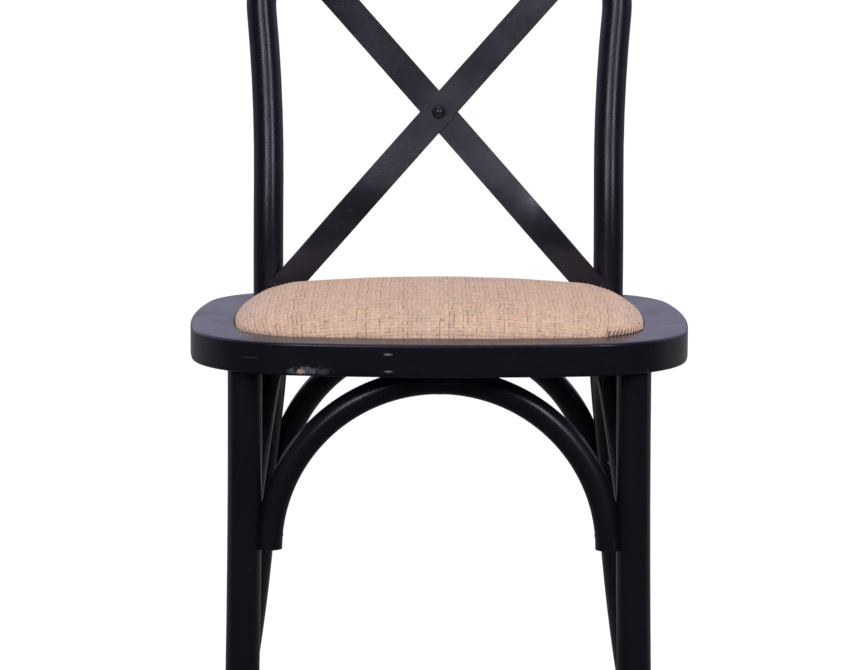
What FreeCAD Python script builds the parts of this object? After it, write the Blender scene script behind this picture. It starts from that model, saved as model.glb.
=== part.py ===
import FreeCAD, Part
import math
import os

import Sketcher

Vector = FreeCAD.Vector
Rotation = FreeCAD.Rotation
Placement = FreeCAD.Placement

# Cross back chair, in millimetres. X runs to the right, Y from the front edge to the back, Z up.
# Pieces are drawn with Y = 0 at the front edge of the seat and Z = 0 on the floor.
# originShift then moves each finished piece, so that the origin is under the middle of the chair.

doc = FreeCAD.newDocument("CrossBackChair")
sheet = doc.addObject("Spreadsheet::Sheet", "Dims")

drivingDimensions = [
    # Seat ring: its outline is four large arcs joined by four corner arcs
    ("seat_height", 460.0),
    ("ring_width", 498.0),
    ("ring_depth", 412.0),
    ("ring_thickness", 32.0),
    ("ring_widest", 195.0),
    ("ring_front_radius", 1000.0),
    ("ring_side_radius", 700.0),
    ("ring_rear_radius", 900.0),
    ("ring_front_corner", 118.0),
    ("ring_rear_corner", 100.0),
    ("ring_edge_round", 3.0),
    ("rim_width", 44.0),
    ("rim_edge_round", 1.5),
    ("rebate_depth", 12.0),
    ("ledge_width", 50.0),
    # Seat filling
    ("board_thickness", 9.0),
    ("pad_crown", 28.5),
    ("pad_shoulder", 90.64),
    ("cover_thickness", 2.4),
    ("cover_stand", 1.2),
    # Back hoop, one rod from foot to foot
    ("hoop_diameter", 31.5),
    ("hoop_side_inset", 69.5),
    ("hoop_inset", 18.0),
    ("hoop_height", 880.0),
    ("hoop_straight_above", 8.0),
    ("hoop_bend_radius", 500.0),
    ("hoop_lean_angle", 13.0),
    ("hoop_flare_radius", 1800.0),
    ("hoop_corner_radius", 98.0),
    ("hoop_top_radius", 620.0),
    ("rear_splay", 38.0),
    ("rear_sweep", 75.0),
    # Front legs
    ("leg_diameter", 33.5),
    ("leg_side_inset", 59.7),
    ("leg_setback", 58.0),
    ("leg_splay", 6.0),
    ("leg_forward", 6.0),
    ("tenon_diameter", 20.0),
    ("tenon_length", 15.0),
    # Arches under the seat
    ("arch_diameter", 26.0),
    ("arch_flat", 1.5),
    ("front_arch_radius", 166.0),
    ("rear_arch_radius", 169.0),
    ("side_arch_radius", 150.0),
    ("side_arch_lean", 19.0),
    ("rear_arch_lean", 24.0),
    # Cross of the back
    ("slat_width", 30.0),
    ("slat_thickness", 3.0),
    ("slat_gap", 0.2),
    ("cross_height", 648.0),
    ("slat_angle", 48.138),
    ("slat_twist_angle", 20.0),
    ("slat_end_height", 467.0),
    ("slat_tail", 32.0),
    ("slat_seat_gap", 2.0),
    ("slat_top_reach", 9.0),
    ("rivet_head_diameter", 14.5),
    ("rivet_head_height", 4.0),
    ("rivet_shank_diameter", 6.0),
    ("rivet_tail_diameter", 10.0),
    ("rivet_tail_height", 2.4),
    ("washer_diameter", 14.0),
    ("washer_thickness", 1.2),
    # Screws, bolts and feet
    ("screw_diameter", 3.6),
    ("screw_head_diameter", 7.4),
    ("arch_seat_screw_length", 38.0),
    ("arch_leg_screw_length", 36.0),
    ("board_screw_length", 24.0),
    ("board_screw_front", 60.0),
    ("board_screw_rear", 110.0),
    ("arch_screw_drop", 15.6),
    ("slat_screw_length", 20.0),
    ("bolt_diameter", 6.0),
    ("bolt_length", 56.0),
    ("bolt_head_diameter", 12.0),
    ("bolt_head_height", 3.6),
    ("bolt_washer_diameter", 15.0),
    ("bolt_washer_thickness", 1.4),
    ("bolt_height_above_ring", 10.0),
    ("insert_diameter", 10.0),
    ("insert_length", 18.0),
    ("bolt_sink", 1.0),
    ("glide_diameter", 24.0),
    ("glide_thickness", 5.0),
    ("nail_diameter", 2.4),
    ("nail_length", 16.0),
    ("nail_head_diameter", 6.0),
    # Clearances
    ("fit_clearance", 0.15),
    ("soft_clearance", 0.3),
]
for row, (alias, value) in enumerate(drivingDimensions, start=1):
    sheet.set("A" + str(row), alias)
    sheet.set("B" + str(row), str(value))
    sheet.setAlias("B" + str(row), alias)
doc.recompute()


def dim(alias):
    return float(sheet.get(alias))


def radiusOf(alias):
    return dim(alias) / 2


# Sizes that follow from the driving dimensions
ringBottom = dim("seat_height") - dim("ring_thickness")
ledgeTop = dim("seat_height") - dim("rebate_depth")
boardTop = ledgeTop + dim("board_thickness")
hoopRadius = radiusOf("hoop_diameter")
legRadius = radiusOf("leg_diameter")
archRadius = radiusOf("arch_diameter")
uprightX = dim("ring_width") / 2 - dim("hoop_side_inset")
uprightY = dim("ring_depth") - dim("hoop_inset")
legX = dim("ring_width") / 2 - dim("leg_side_inset")
clearance = dim("fit_clearance")
leanAngle = math.radians(dim("hoop_lean_angle"))


# Paths: every rod follows straight lines and tangent arcs
def arcThrough(start, middle, end):
    return Part.Arc(start, middle, end).toShape()


def planarArc(start, tangent, normalIn, radius, angle):
    """Arc that leaves start along tangent and turns toward normalIn."""
    centre = start + normalIn * radius

    def at(turn):
        return centre - normalIn * (radius * math.cos(turn)) + tangent * (radius * math.sin(turn))

    return arcThrough(start, at(angle / 2), at(angle))


def sweepRadius(offset, height):
    """Radius of an arc that is vertical at its top and has moved by offset over height."""
    return (height ** 2 + offset ** 2) / (2 * offset)


def footPath(top, offset, height, extra):
    """Arc that leaves top straight down and bends toward offset, carried on by extra."""
    reach = offset.Length
    radius = sweepRadius(reach, height)
    angle = math.asin(height / radius)
    angle += extra / radius
    toward = offset * (1 / reach)
    return planarArc(top, Vector(0, 0, -1), toward, radius, angle)


def footPoint(top, offset, height, z):
    """Centre of a bent leg at height z."""
    reach = offset.Length
    radius = sweepRadius(reach, height)
    drop = max(top.z - z, 0)
    moved = radius - math.sqrt(radius ** 2 - drop ** 2)
    return Vector(top.x, top.y, z) + offset * (moved / reach)


def rodAlong(edges, radius):
    """Round rod along a chain of edges."""
    path = Part.Wire(edges)
    start = edges[0].valueAt(edges[0].FirstParameter)
    heading = edges[0].tangentAt(edges[0].FirstParameter)
    section = Part.Wire([Part.makeCircle(radius, start, heading)])
    return path.makePipeShell([section], True, False)


def axisPlacement(point, direction):
    """Placement that puts a piece drawn along +Z at point, along direction."""
    return Placement(point, Rotation(Vector(0, 0, 1), direction))


# Hoop path, right half first; the left half is its mirror image
class HoopPath:
    def __init__(self):
        self.kneeHeight = ringBottom - dim("ring_edge_round")
        self.footOffset = Vector(dim("rear_splay"), dim("rear_sweep"), 0)
        self.kneeTop = Vector(uprightX, uprightY, self.kneeHeight)
        self.seatTop = dim("seat_height") + dim("hoop_straight_above")
        self.bendStart = Vector(uprightX, uprightY, self.seatTop)
        bendRadius = dim("hoop_bend_radius")
        rise = bendRadius * math.sin(leanAngle)
        back = bendRadius * (1 - math.cos(leanAngle))
        self.bendEnd = self.bendStart + Vector(0, back, rise)
        self.upSlope = Vector(0, math.sin(leanAngle), math.cos(leanAngle))
        # In the leaning plane: a flare outward, a corner inward and a shallow crown
        topCentreHeight = dim("hoop_height") - hoopRadius
        self.planeRise = (topCentreHeight - self.bendEnd.z) / math.cos(leanAngle)
        self.solveCorner()

    def planePoint(self, x, rise):
        return Vector(x, self.bendEnd.y, self.bendEnd.z) + self.upSlope * rise

    def solveCorner(self):
        """Corner circle that touches the flare circle and the crown circle."""
        flare = dim("hoop_flare_radius")
        corner = dim("hoop_corner_radius")
        crown = dim("hoop_top_radius")
        flareCentre = (uprightX + flare, 0.0)
        crownCentre = (0.0, self.planeRise - crown)
        meets = [
            circleMeet(flareCentre, flare + corner, crownCentre, crown - corner, side) for side in (-1, 1)
        ]
        self.cornerCentre = max(meets, key=lambda point: point[1])
        self.flareEnd = alongLine(flareCentre, self.cornerCentre, flare)
        self.crownStart = alongLine(crownCentre, self.cornerCentre, crown)
        self.flareMiddle = arcMiddle(flareCentre, flare, (uprightX, 0.0), self.flareEnd)
        self.cornerMiddle = arcMiddle(self.cornerCentre, corner, self.flareEnd, self.crownStart)

    def halfEdges(self, side):
        """Edges from the foot to the top centre; side is 1 on the right and -1 on the left."""
        def flip(point):
            return Vector(point.x * side, point.y, point.z)

        legArc = footPath(self.kneeTop, self.footOffset, self.kneeHeight, dim("hoop_diameter"))
        footEnd = legArc.valueAt(legArc.LastParameter)
        legMiddle = legArc.valueAt((legArc.FirstParameter + legArc.LastParameter) / 2)
        bendRadius = dim("hoop_bend_radius")
        bendMiddle = self.bendStart + Vector(
            0, bendRadius * (1 - math.cos(leanAngle / 2)), bendRadius * math.sin(leanAngle / 2)
        )
        flareEnd = self.planePoint(*self.flareEnd)
        crownStart = self.planePoint(*self.crownStart)
        return [
            arcThrough(flip(footEnd), flip(legMiddle), flip(self.kneeTop)),
            Part.LineSegment(flip(self.kneeTop), flip(self.bendStart)).toShape(),
            arcThrough(flip(self.bendStart), flip(bendMiddle), flip(self.bendEnd)),
            arcThrough(flip(self.bendEnd), flip(self.planePoint(*self.flareMiddle)), flip(flareEnd)),
            arcThrough(flip(flareEnd), flip(self.planePoint(*self.cornerMiddle)), flip(crownStart)),
        ]

    def edges(self):
        right = self.halfEdges(1)
        left = self.halfEdges(-1)
        crownRight = self.planePoint(*self.crownStart)
        crownLeft = Vector(-crownRight.x, crownRight.y, crownRight.z)
        crown = arcThrough(crownRight, self.planePoint(0, self.planeRise), crownLeft)
        return right + [crown] + [reversedArc(edge) for edge in reversed(left)]


def reversedArc(edge):
    first = edge.valueAt(edge.FirstParameter)
    last = edge.valueAt(edge.LastParameter)
    middle = edge.valueAt((edge.FirstParameter + edge.LastParameter) / 2)
    if edge.Curve.TypeId == "Part::GeomLine":
        return Part.LineSegment(last, first).toShape()
    return arcThrough(last, middle, first)


def circleMeet(centreA, radiusA, centreB, radiusB, side):
    """Meeting point of two circles in a plane, on the given side of the line from A to B."""
    dx = centreB[0] - centreA[0]
    dy = centreB[1] - centreA[1]
    gap = math.hypot(dx, dy)
    along = (radiusA ** 2 - radiusB ** 2 + gap ** 2) / (2 * gap)
    across = math.sqrt(radiusA ** 2 - along ** 2) * side
    ux = dx / gap
    uy = dy / gap
    return (centreA[0] + along * ux - across * uy, centreA[1] + along * uy + across * ux)


def alongLine(start, toward, distance):
    dx = toward[0] - start[0]
    dy = toward[1] - start[1]
    gap = math.hypot(dx, dy)
    return (start[0] + dx / gap * distance, start[1] + dy / gap * distance)


def arcMiddle(centre, radius, start, end):
    """Middle of the short arc from start to end."""
    halfway = ((start[0] + end[0]) / 2, (start[1] + end[1]) / 2)
    return alongLine(centre, halfway, radius)


hoop = HoopPath()
totalDepth = hoop.planePoint(0, hoop.planeRise).y + hoopRadius
originShift = Vector(0, -totalDepth / 2, 0)


def frontLegTop(side):
    return Vector(side * legX, dim("leg_setback"), ringBottom)


def frontLegOffset(side):
    return Vector(side * dim("leg_splay"), -dim("leg_forward"), 0)


def rearLegAt(side, z):
    point = footPoint(hoop.kneeTop, hoop.footOffset, hoop.kneeHeight, z)
    return Vector(point.x * side, point.y, point.z)


def frontLegAt(side, z):
    return footPoint(frontLegTop(side), frontLegOffset(side), ringBottom, z)


def legAt(kind, side, z):
    return frontLegAt(side, z) if kind == "front" else rearLegAt(side, z)


# Helpers for document objects
exported = []
overrun = 2.0


def finish(obj, label):
    """Gives a finished sub-part its name and moves it to the chair's origin."""
    obj.Label = label
    placement = obj.Placement
    obj.Placement = Placement(placement.Base + originShift, placement.Rotation)
    exported.append(obj)
    return obj


def newBody(name):
    return doc.addObject("PartDesign::Body", name)


def originPlane(body, role):
    for feature in body.Origin.OriginFeatures:
        if feature.Role == role:
            return feature
    raise ValueError("no such plane: " + role)


def newSketch(body, name, role, heightExpression=None):
    sketch = body.newObject("Sketcher::SketchObject", name)
    sketch.AttachmentSupport = [(originPlane(body, role), "")]
    sketch.MapMode = "FlatFace"
    if heightExpression:
        sketch.setExpression("AttachmentOffset.Base.z", heightExpression)
    return sketch


def bindConstraint(sketch, constraint, name, expression):
    index = sketch.addConstraint(constraint)
    sketch.renameConstraint(index, name)
    sketch.setExpression("Constraints." + name, expression)
    return index


def addCircle(sketch, name, x, y, radius, placeX, placeY, radiusExpression):
    """Circle with its centre set by two signed places and its radius by an expression."""
    index = sketch.addGeometry(Part.Circle(Vector(x, y, 0), Vector(0, 0, 1), radius), False)
    bindConstraint(sketch, Sketcher.Constraint("Radius", index, radius), name + "_radius", radiusExpression)
    for axis, value, expression in (("X", x, placeX), ("Y", y, placeY)):
        if expression is None:
            rootAxis = -2 if axis == "X" else -1
            sketch.addConstraint(Sketcher.Constraint("PointOnObject", index, 3, rootAxis))
            continue
        first, second = ((-1, 1), (index, 3)) if value > 0 else ((index, 3), (-1, 1))
        constraint = Sketcher.Constraint("Distance" + axis, *first, *second, abs(value))
        bindConstraint(sketch, constraint, name + "_" + axis.lower(), expression)
    return index


def outlineCircles(inset):
    """The seat's four large circles, anticlockwise from the front, drawn in by inset."""
    front = dim("ring_front_radius")
    side = dim("ring_side_radius")
    rear = dim("ring_rear_radius")
    sideCentre = side - dim("ring_width") / 2
    return [
        ((0.0, front), front - inset),
        ((-sideCentre, dim("ring_widest")), side - inset),
        ((0.0, dim("ring_depth") - rear), rear - inset),
        ((sideCentre, dim("ring_widest")), side - inset),
    ]


def outlineArcs(circles, frontCorner, rearCorner):
    """Eight tangent arcs, as (centre, radius, start, end), anticlockwise from the front."""
    corners = []
    for index, radius in enumerate((frontCorner, rearCorner, rearCorner, frontCorner)):
        centreA, radiusA = circles[index]
        centreB, radiusB = circles[(index + 1) % 4]
        options = [
            circleMeet(centreA, radiusA - radius, centreB, radiusB - radius, side) for side in (-1, 1)
        ]
        signX = 1 if index in (0, 1) else -1
        signY = -1 if index in (0, 3) else 1
        best = max(options, key=lambda point: signX * point[0] + signY * point[1])
        start = alongLine(centreA, best, radiusA)
        end = alongLine(centreB, best, radiusB)
        corners.append((best, radius, start, end))
    arcs = []
    for index in range(4):
        centre, radius = circles[index]
        arcs.append((centre, radius, corners[index - 1][3], corners[index][2]))
        arcs.append(corners[index])
    return arcs


def angleOf(centre, point):
    return math.atan2(point[1] - centre[1], point[0] - centre[0])


def outlineSketch(body, name, heightExpression, insetExpression, inset):
    """Sketch of the seat outline drawn in by inset, with its centres and radii bound."""
    sketch = newSketch(body, name, "XY_Plane", heightExpression)
    frontCorner = dim("ring_front_corner") - inset
    rearCorner = dim("ring_rear_corner") - inset
    arcs = outlineArcs(outlineCircles(inset), frontCorner, rearCorner)
    for centre, radius, start, end in arcs:
        circle = Part.Circle(Vector(centre[0], centre[1], 0), Vector(0, 0, 1), radius)
        first = angleOf(centre, start)
        last = angleOf(centre, end)
        if last < first:
            last += 2 * math.pi
        sketch.addGeometry(Part.ArcOfCircle(circle, first, last), False)
    for index in range(8):
        sketch.addConstraint(Sketcher.Constraint("Tangent", index, 2, (index + 1) % 8, 1))
    names = ("front", "front_corner", "side", "rear_corner", "rear", "rear_corner", "side", "front_corner")
    for index, arcName in enumerate(names):
        alias = "ring_" + arcName if arcName.endswith("corner") else "ring_" + arcName + "_radius"
        constraint = Sketcher.Constraint("Radius", index, arcs[index][1])
        expression = "Dims." + alias + " - (" + insetExpression + ")"
        bindConstraint(sketch, constraint, "radius_" + str(index), expression)
    for index in (0, 4):
        sketch.addConstraint(Sketcher.Constraint("PointOnObject", index, 3, -2))
    sketch.addConstraint(Sketcher.Constraint("Symmetric", 2, 3, 6, 3, -2))
    frontRadius = dim("ring_front_radius")
    centreGap = frontRadius + dim("ring_rear_radius") - dim("ring_depth")
    bindConstraint(
        sketch, Sketcher.Constraint("DistanceY", -1, 1, 0, 3, frontRadius), "front_centre",
        "Dims.ring_front_radius",
    )
    bindConstraint(
        sketch, Sketcher.Constraint("DistanceY", 4, 3, 0, 3, centreGap), "rear_centre",
        "Dims.ring_front_radius + Dims.ring_rear_radius - Dims.ring_depth",
    )
    bindConstraint(
        sketch, Sketcher.Constraint("DistanceY", -1, 1, 2, 3, dim("ring_widest")), "widest",
        "Dims.ring_widest",
    )
    bindConstraint(
        sketch,
        Sketcher.Constraint("DistanceX", 2, 3, 6, 3, 2 * dim("ring_side_radius") - dim("ring_width")),
        "side_centres", "2 * Dims.ring_side_radius - Dims.ring_width",
    )
    return sketch


def pad(body, sketch, name, lengthExpression):
    feature = body.newObject("PartDesign::Pad", name)
    feature.Profile = sketch
    feature.setExpression("Length", lengthExpression)
    return feature


def pocket(body, sketch, name, lengthExpression, upward):
    feature = body.newObject("PartDesign::Pocket", name)
    feature.Profile = sketch
    feature.Reversed = upward
    feature.setExpression("Length", lengthExpression)
    return feature


def edgesWhere(shape, test):
    return ["Edge" + str(index) for index, edge in enumerate(shape.Edges, start=1) if test(edge)]


def flatAt(z):
    """Test for edges that lie wholly at height z."""
    return lambda edge: abs(edge.BoundBox.ZMin - z) < 1e-4 and abs(edge.BoundBox.ZMax - z) < 1e-4


def fillet(body, base, name, edges, radiusExpression):
    doc.recompute()
    feature = body.newObject("PartDesign::Fillet", name)
    feature.Base = (base, edges)
    feature.setExpression("Radius", radiusExpression)
    return feature


def cutWith(name, base, holes, trims=()):
    """Base with each larger trim taken away in turn, and then its holes together."""
    result = base
    for index, trim in enumerate(trims):
        cut = doc.addObject("Part::Cut", name + "_trim_" + str(index))
        cut.Base = result
        cut.Tool = trim
        result = cut
    merged = doc.addObject("Part::MultiFuse", name + "_holes")
    merged.Shapes = holes
    drilled = doc.addObject("Part::Cut", name)
    drilled.Base = result
    drilled.Tool = merged
    return drilled


def cylinder(name, point, direction, radiusExpression, heightExpression):
    """Cylinder that starts at point and runs along direction."""
    obj = doc.addObject("Part::Cylinder", name)
    obj.setExpression("Radius", radiusExpression)
    obj.setExpression("Height", heightExpression)
    obj.Placement = axisPlacement(point, direction)
    return obj


def block(name, bottom, heightExpression):
    """Block wider and deeper than the whole chair, from bottom up."""
    obj = doc.addObject("Part::Box", name)
    obj.setExpression("Length", "2 * Dims.ring_width")
    obj.setExpression("Width", "3 * Dims.ring_depth")
    obj.setExpression("Height", heightExpression)
    obj.Placement.Base = Vector(-dim("ring_width"), -dim("ring_depth"), bottom)
    return obj


def screwHole(name, head, direction, lengthExpression):
    """Hole for a countersunk screw whose head's face is at head."""
    shank = cylinder(
        name + "_shank", head, direction,
        "Dims.screw_diameter / 2 + Dims.fit_clearance", lengthExpression,
    )
    sink = doc.addObject("Part::Cone", name + "_sink")
    sink.setExpression("Radius1", "Dims.screw_head_diameter / 2 + Dims.fit_clearance")
    sink.setExpression("Radius2", "Dims.screw_diameter / 2 + Dims.fit_clearance")
    sink.setExpression("Height", "(Dims.screw_head_diameter - Dims.screw_diameter) / 2")
    sink.Placement = axisPlacement(head, direction)
    mouth = cylinder(
        name + "_mouth", head, direction * -1,
        "Dims.screw_head_diameter / 2 + Dims.fit_clearance", "Dims.screw_head_diameter / 2",
    )
    return [shank, sink, mouth]


def shapeObject(name, shape):
    obj = doc.addObject("Part::Feature", name)
    obj.Shape = shape
    return obj


# Places where pieces are fastened, used by the screws and by their holes alike
sides = (-1, 1)
down = Vector(0, 0, -1)
up = Vector(0, 0, 1)
back = Vector(0, 1, 0)


class Arch:
    """A bent rod that springs from two legs and rises to the seat ring's underside."""

    def __init__(self, name, legs, radiusAlias, inwardLean, inwardHint):
        self.name = name
        self.legs = legs
        self.radiusAlias = radiusAlias
        self.radius = radius = dim(radiusAlias)
        rise = ringBottom + dim("arch_flat") - archRadius
        tilt = math.asin(inwardLean / radius)
        springHeight = rise - radius * math.cos(tilt)
        self.springHeight = springHeight
        legA, legB = [legAt(kind, side, springHeight) for kind, side in legs]
        middle = (legA + legB) * 0.5
        along = legB - legA
        along.normalize()
        across = along.cross(up)
        if across.dot(inwardHint) < 0:
            across = across * -1
        self.along = along
        self.rising = up * math.cos(tilt) + across * math.sin(tilt)
        self.centre = middle
        self.legPoints = (legA, legB)
        self.crown = middle + self.rising * radius

    def placement(self):
        normal = self.along.cross(self.rising)
        matrix = FreeCAD.Matrix(
            self.along.x, self.rising.x, normal.x, self.centre.x,
            self.along.y, self.rising.y, normal.y, self.centre.y,
            self.along.z, self.rising.z, normal.z, self.centre.z,
            0, 0, 0, 1,
        )
        return Placement(matrix)


frontArch = Arch("front_arch", [("front", -1), ("front", 1)], "front_arch_radius", 0.0, back)
rearArch = Arch(
    "rear_arch", [("rear", -1), ("rear", 1)], "rear_arch_radius", dim("rear_arch_lean"), Vector(0, -1, 0)
)
sideArches = {
    side: Arch(
        "side_arch_left" if side < 0 else "side_arch_right", [("front", side), ("rear", side)],
        "side_arch_radius", dim("side_arch_lean"), Vector(-side, 0, 0),
    )
    for side in sides
}
arches = [frontArch, rearArch, sideArches[-1], sideArches[1]]


def archSeatScrew(arch):
    """Head point and direction of the screw up through the top of an arch."""
    head = Vector(arch.crown.x, arch.crown.y, arch.crown.z - archRadius + clearance)
    return head, up


def archLegScrew(arch, end):
    """Head point and direction of the screw through a foot of an arch into its leg."""
    legPoint = arch.legPoints[end]
    outward = arch.along * (1 if end else -1)
    drop = dim("arch_screw_drop")
    level = arch.springHeight + drop
    inset = math.sqrt(arch.radius ** 2 - drop ** 2) - archRadius
    head = arch.centre + outward * inset + arch.rising * drop
    target = Vector(legPoint.x, legPoint.y, level)
    direction = target - head
    direction.normalize()
    return head, direction


def boardScrewPoints():
    x = dim("ring_width") / 2 - dim("rim_width") - dim("ledge_width") / 2
    for step in (-dim("board_screw_front"), dim("board_screw_rear")):
        for side in sides:
            yield Vector(side * x, dim("ring_widest") + step, ringBottom)


def boltLine(side):
    """Point on the back of the upright and direction of the bolt into the ring."""
    height = ringBottom + dim("bolt_height_above_ring")
    return Vector(side * uprightX, uprightY + hoopRadius, height), Vector(0, -1, 0)


# Seat ring
ring = newBody("SeatRing")
ringSketch = outlineSketch(ring, "RingOutline", "Dims.seat_height - Dims.ring_thickness", "0", 0.0)
ringPad = pad(ring, ringSketch, "RingPad", "Dims.ring_thickness")
doc.recompute()
outerEdges = edgesWhere(ringPad.Shape, flatAt(dim("seat_height")))
outerEdges += edgesWhere(ringPad.Shape, flatAt(ringBottom))
ringRound = fillet(ring, ringPad, "RingRound", outerEdges, "Dims.ring_edge_round")

rebateSketch = outlineSketch(
    ring, "RebateOutline", "Dims.seat_height", "Dims.rim_width", dim("rim_width")
)
rebate = pocket(ring, rebateSketch, "Rebate", "Dims.rebate_depth", False)
openingInset = dim("rim_width") + dim("ledge_width")
openingSketch = outlineSketch(
    ring, "OpeningOutline", "Dims.seat_height", "Dims.rim_width + Dims.ledge_width", openingInset
)
opening = pocket(ring, openingSketch, "Opening", "Dims.ring_thickness", False)

notchSketch = newSketch(ring, "NotchCircles", "XY_Plane", "Dims.seat_height")
for side in sides:
    addCircle(
        notchSketch, "notch_" + ("left" if side < 0 else "right"),
        side * uprightX, uprightY, hoopRadius + clearance,
        "Dims.ring_width / 2 - Dims.hoop_side_inset", "Dims.ring_depth - Dims.hoop_inset",
        "Dims.hoop_diameter / 2 + Dims.fit_clearance",
    )
notches = pocket(ring, notchSketch, "Notches", "Dims.ring_thickness", False)

tenonSketch = newSketch(ring, "TenonBores", "XY_Plane", "Dims.seat_height - Dims.ring_thickness")
for side in sides:
    addCircle(
        tenonSketch, "tenon_" + ("left" if side < 0 else "right"),
        side * legX, dim("leg_setback"), radiusOf("tenon_diameter") + clearance,
        "Dims.ring_width / 2 - Dims.leg_side_inset", "Dims.leg_setback",
        "Dims.tenon_diameter / 2 + Dims.fit_clearance",
    )
tenonBores = pocket(ring, tenonSketch, "TenonPockets", "Dims.tenon_length + Dims.fit_clearance", True)
doc.recompute()


def isRimEdge(edge):
    """True for the long edges around the mouth of the rebate."""
    box = edge.BoundBox
    slack = dim("rim_edge_round")
    inSides = max(abs(box.XMin), abs(box.XMax)) < dim("ring_width") / 2 - dim("rim_width") + slack
    inFront = box.YMin > dim("rim_width") - slack
    return flatAt(dim("seat_height"))(edge) and inSides and inFront and edge.Length > slack


rimEdges = edgesWhere(tenonBores.Shape, isRimEdge)
rimRound = fillet(ring, tenonBores, "RimRound", rimEdges, "Dims.rim_edge_round")
ring.Tip = rimRound
doc.recompute()

# Holes in the ring for every screw and bolt that reaches it
ringTools = []
for arch in arches:
    head, direction = archSeatScrew(arch)
    ringTools.append(cylinder(
        "ring_hole_" + arch.name, head, direction,
        "Dims.screw_diameter / 2 + Dims.fit_clearance",
        "Dims.arch_seat_screw_length + Dims.fit_clearance",
    ))
for index, point in enumerate(boardScrewPoints()):
    ringTools += screwHole("ring_board_hole_" + str(index), point, up, "Dims.board_screw_length")
for side in sides:
    start, direction = boltLine(side)
    ringTools.append(cylinder(
        "ring_bolt_hole_" + str(side + 1), start, direction,
        "Dims.bolt_diameter / 2 + Dims.fit_clearance", "Dims.bolt_length + Dims.bolt_sink",
    ))
    insertStart = start + direction * (dim("hoop_diameter") + clearance)
    ringTools.append(cylinder(
        "ring_insert_hole_" + str(side + 1), insertStart, direction,
        "Dims.insert_diameter / 2 + Dims.fit_clearance", "Dims.insert_length + Dims.fit_clearance",
    ))
finish(cutWith("RingDrilled", ring, ringTools), "seat_ring")

# Plywood board in the rebate
board = newBody("SeatBoard")
boardInset = dim("rim_width") + clearance * 2
boardSketch = outlineSketch(
    board, "BoardOutline", "Dims.seat_height - Dims.rebate_depth",
    "Dims.rim_width + 2 * Dims.fit_clearance", boardInset,
)
pad(board, boardSketch, "BoardPad", "Dims.board_thickness")
doc.recompute()
boardTools = [
    cylinder(
        "board_hole_" + str(index), point, up,
        "Dims.screw_diameter / 2 + Dims.fit_clearance", "Dims.board_screw_length + Dims.fit_clearance",
    )
    for index, point in enumerate(boardScrewPoints())
]
finish(cutWith("BoardDrilled", board, boardTools), "seat_board")


# Padding and its woven cover: both are lofts through the same crowned sections
# Each pair is the share of the shoulder's width and the share of the crown's height
crownProfile = (
    (0.0, 0.0), (0.022, 0.17), (0.075, 0.36), (0.18, 0.62), (0.36, 0.84), (0.62, 0.96), (0.88, 1.0),
)


def crownSections(draw, lift, floorZ):
    """Wires from the edge to the crown, drawn in by draw and lowered by lift."""
    edgeInset = dim("rim_width") + clearance * 2 + dim("soft_clearance")
    crown = dim("pad_crown")
    frontCorner = dim("ring_front_corner") - edgeInset
    rearCorner = dim("ring_rear_corner") - edgeInset
    rimTop = dim("seat_height") + dim("cover_stand")
    levels = [(0.0, floorZ)]
    for across, high in crownProfile:
        levels.append((across * dim("pad_shoulder"), rimTop + high * crown - lift))
    wires = []
    for inset, z in levels:
        circles = outlineCircles(edgeInset + draw + inset)
        arcs = outlineArcs(circles, frontCorner - draw, rearCorner - draw)
        edges = []
        for centre, radius, start, end in arcs:
            middle = arcMiddle(centre, radius, start, end)
            edges.append(arcThrough(
                Vector(start[0], start[1], z), Vector(middle[0], middle[1], z), Vector(end[0], end[1], z)
            ))
        wires.append(Part.Wire(edges))
    return wires


def crownedSolid(draw, lift, floorZ):
    """Straight-sided foot with a smooth crown above it."""
    wires = crownSections(draw, lift, floorZ)
    foot = Part.makeLoft(wires[:2], True, True)
    crown = Part.makeLoft(wires[1:], True, False)
    return foot.fuse(crown).removeSplitter()


coverOuter = crownedSolid(0.0, 0.0, boardTop)
coverInner = crownedSolid(dim("cover_thickness"), dim("cover_thickness"), boardTop - overrun)
coreGap = dim("cover_thickness") + dim("soft_clearance")
padCore = crownedSolid(coreGap, coreGap, boardTop + dim("soft_clearance"))
finish(shapeObject("PadCore", padCore), "pad_core")
finish(shapeObject("RattanCover", coverOuter.cut(coverInner)), "rattan_cover")

# Back hoop
hoopRod = shapeObject("HoopRod", rodAlong(hoop.edges(), hoopRadius))


def floorBox(name):
    """Block that trims the feet level with the tops of the glides."""
    return block(name, dim("glide_thickness") - dim("seat_height"), "Dims.seat_height")


def nailHole(name, foot):
    top = Vector(foot.x, foot.y, 0)
    return cylinder(
        name, top, up, "Dims.nail_diameter / 2 + Dims.fit_clearance",
        "Dims.nail_length + Dims.fit_clearance",
    )


hoopTools = []
for side in sides:
    start, direction = boltLine(side)
    hoopTools.append(cylinder(
        "hoop_bolt_hole_" + str(side + 1), start, direction,
        "Dims.bolt_diameter / 2 + Dims.fit_clearance", "2 * Dims.hoop_diameter",
    ))
    sinkDepth = dim("bolt_washer_thickness") + dim("bolt_sink")
    hoopTools.append(cylinder(
        "hoop_bolt_sink_" + str(side + 1), start - back * sinkDepth, back,
        "Dims.bolt_washer_diameter / 2 + Dims.fit_clearance", "Dims.hoop_diameter",
    ))
    hoopTools.append(nailHole("hoop_nail_hole_" + str(side + 1), rearLegAt(side, dim("glide_thickness"))))

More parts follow.
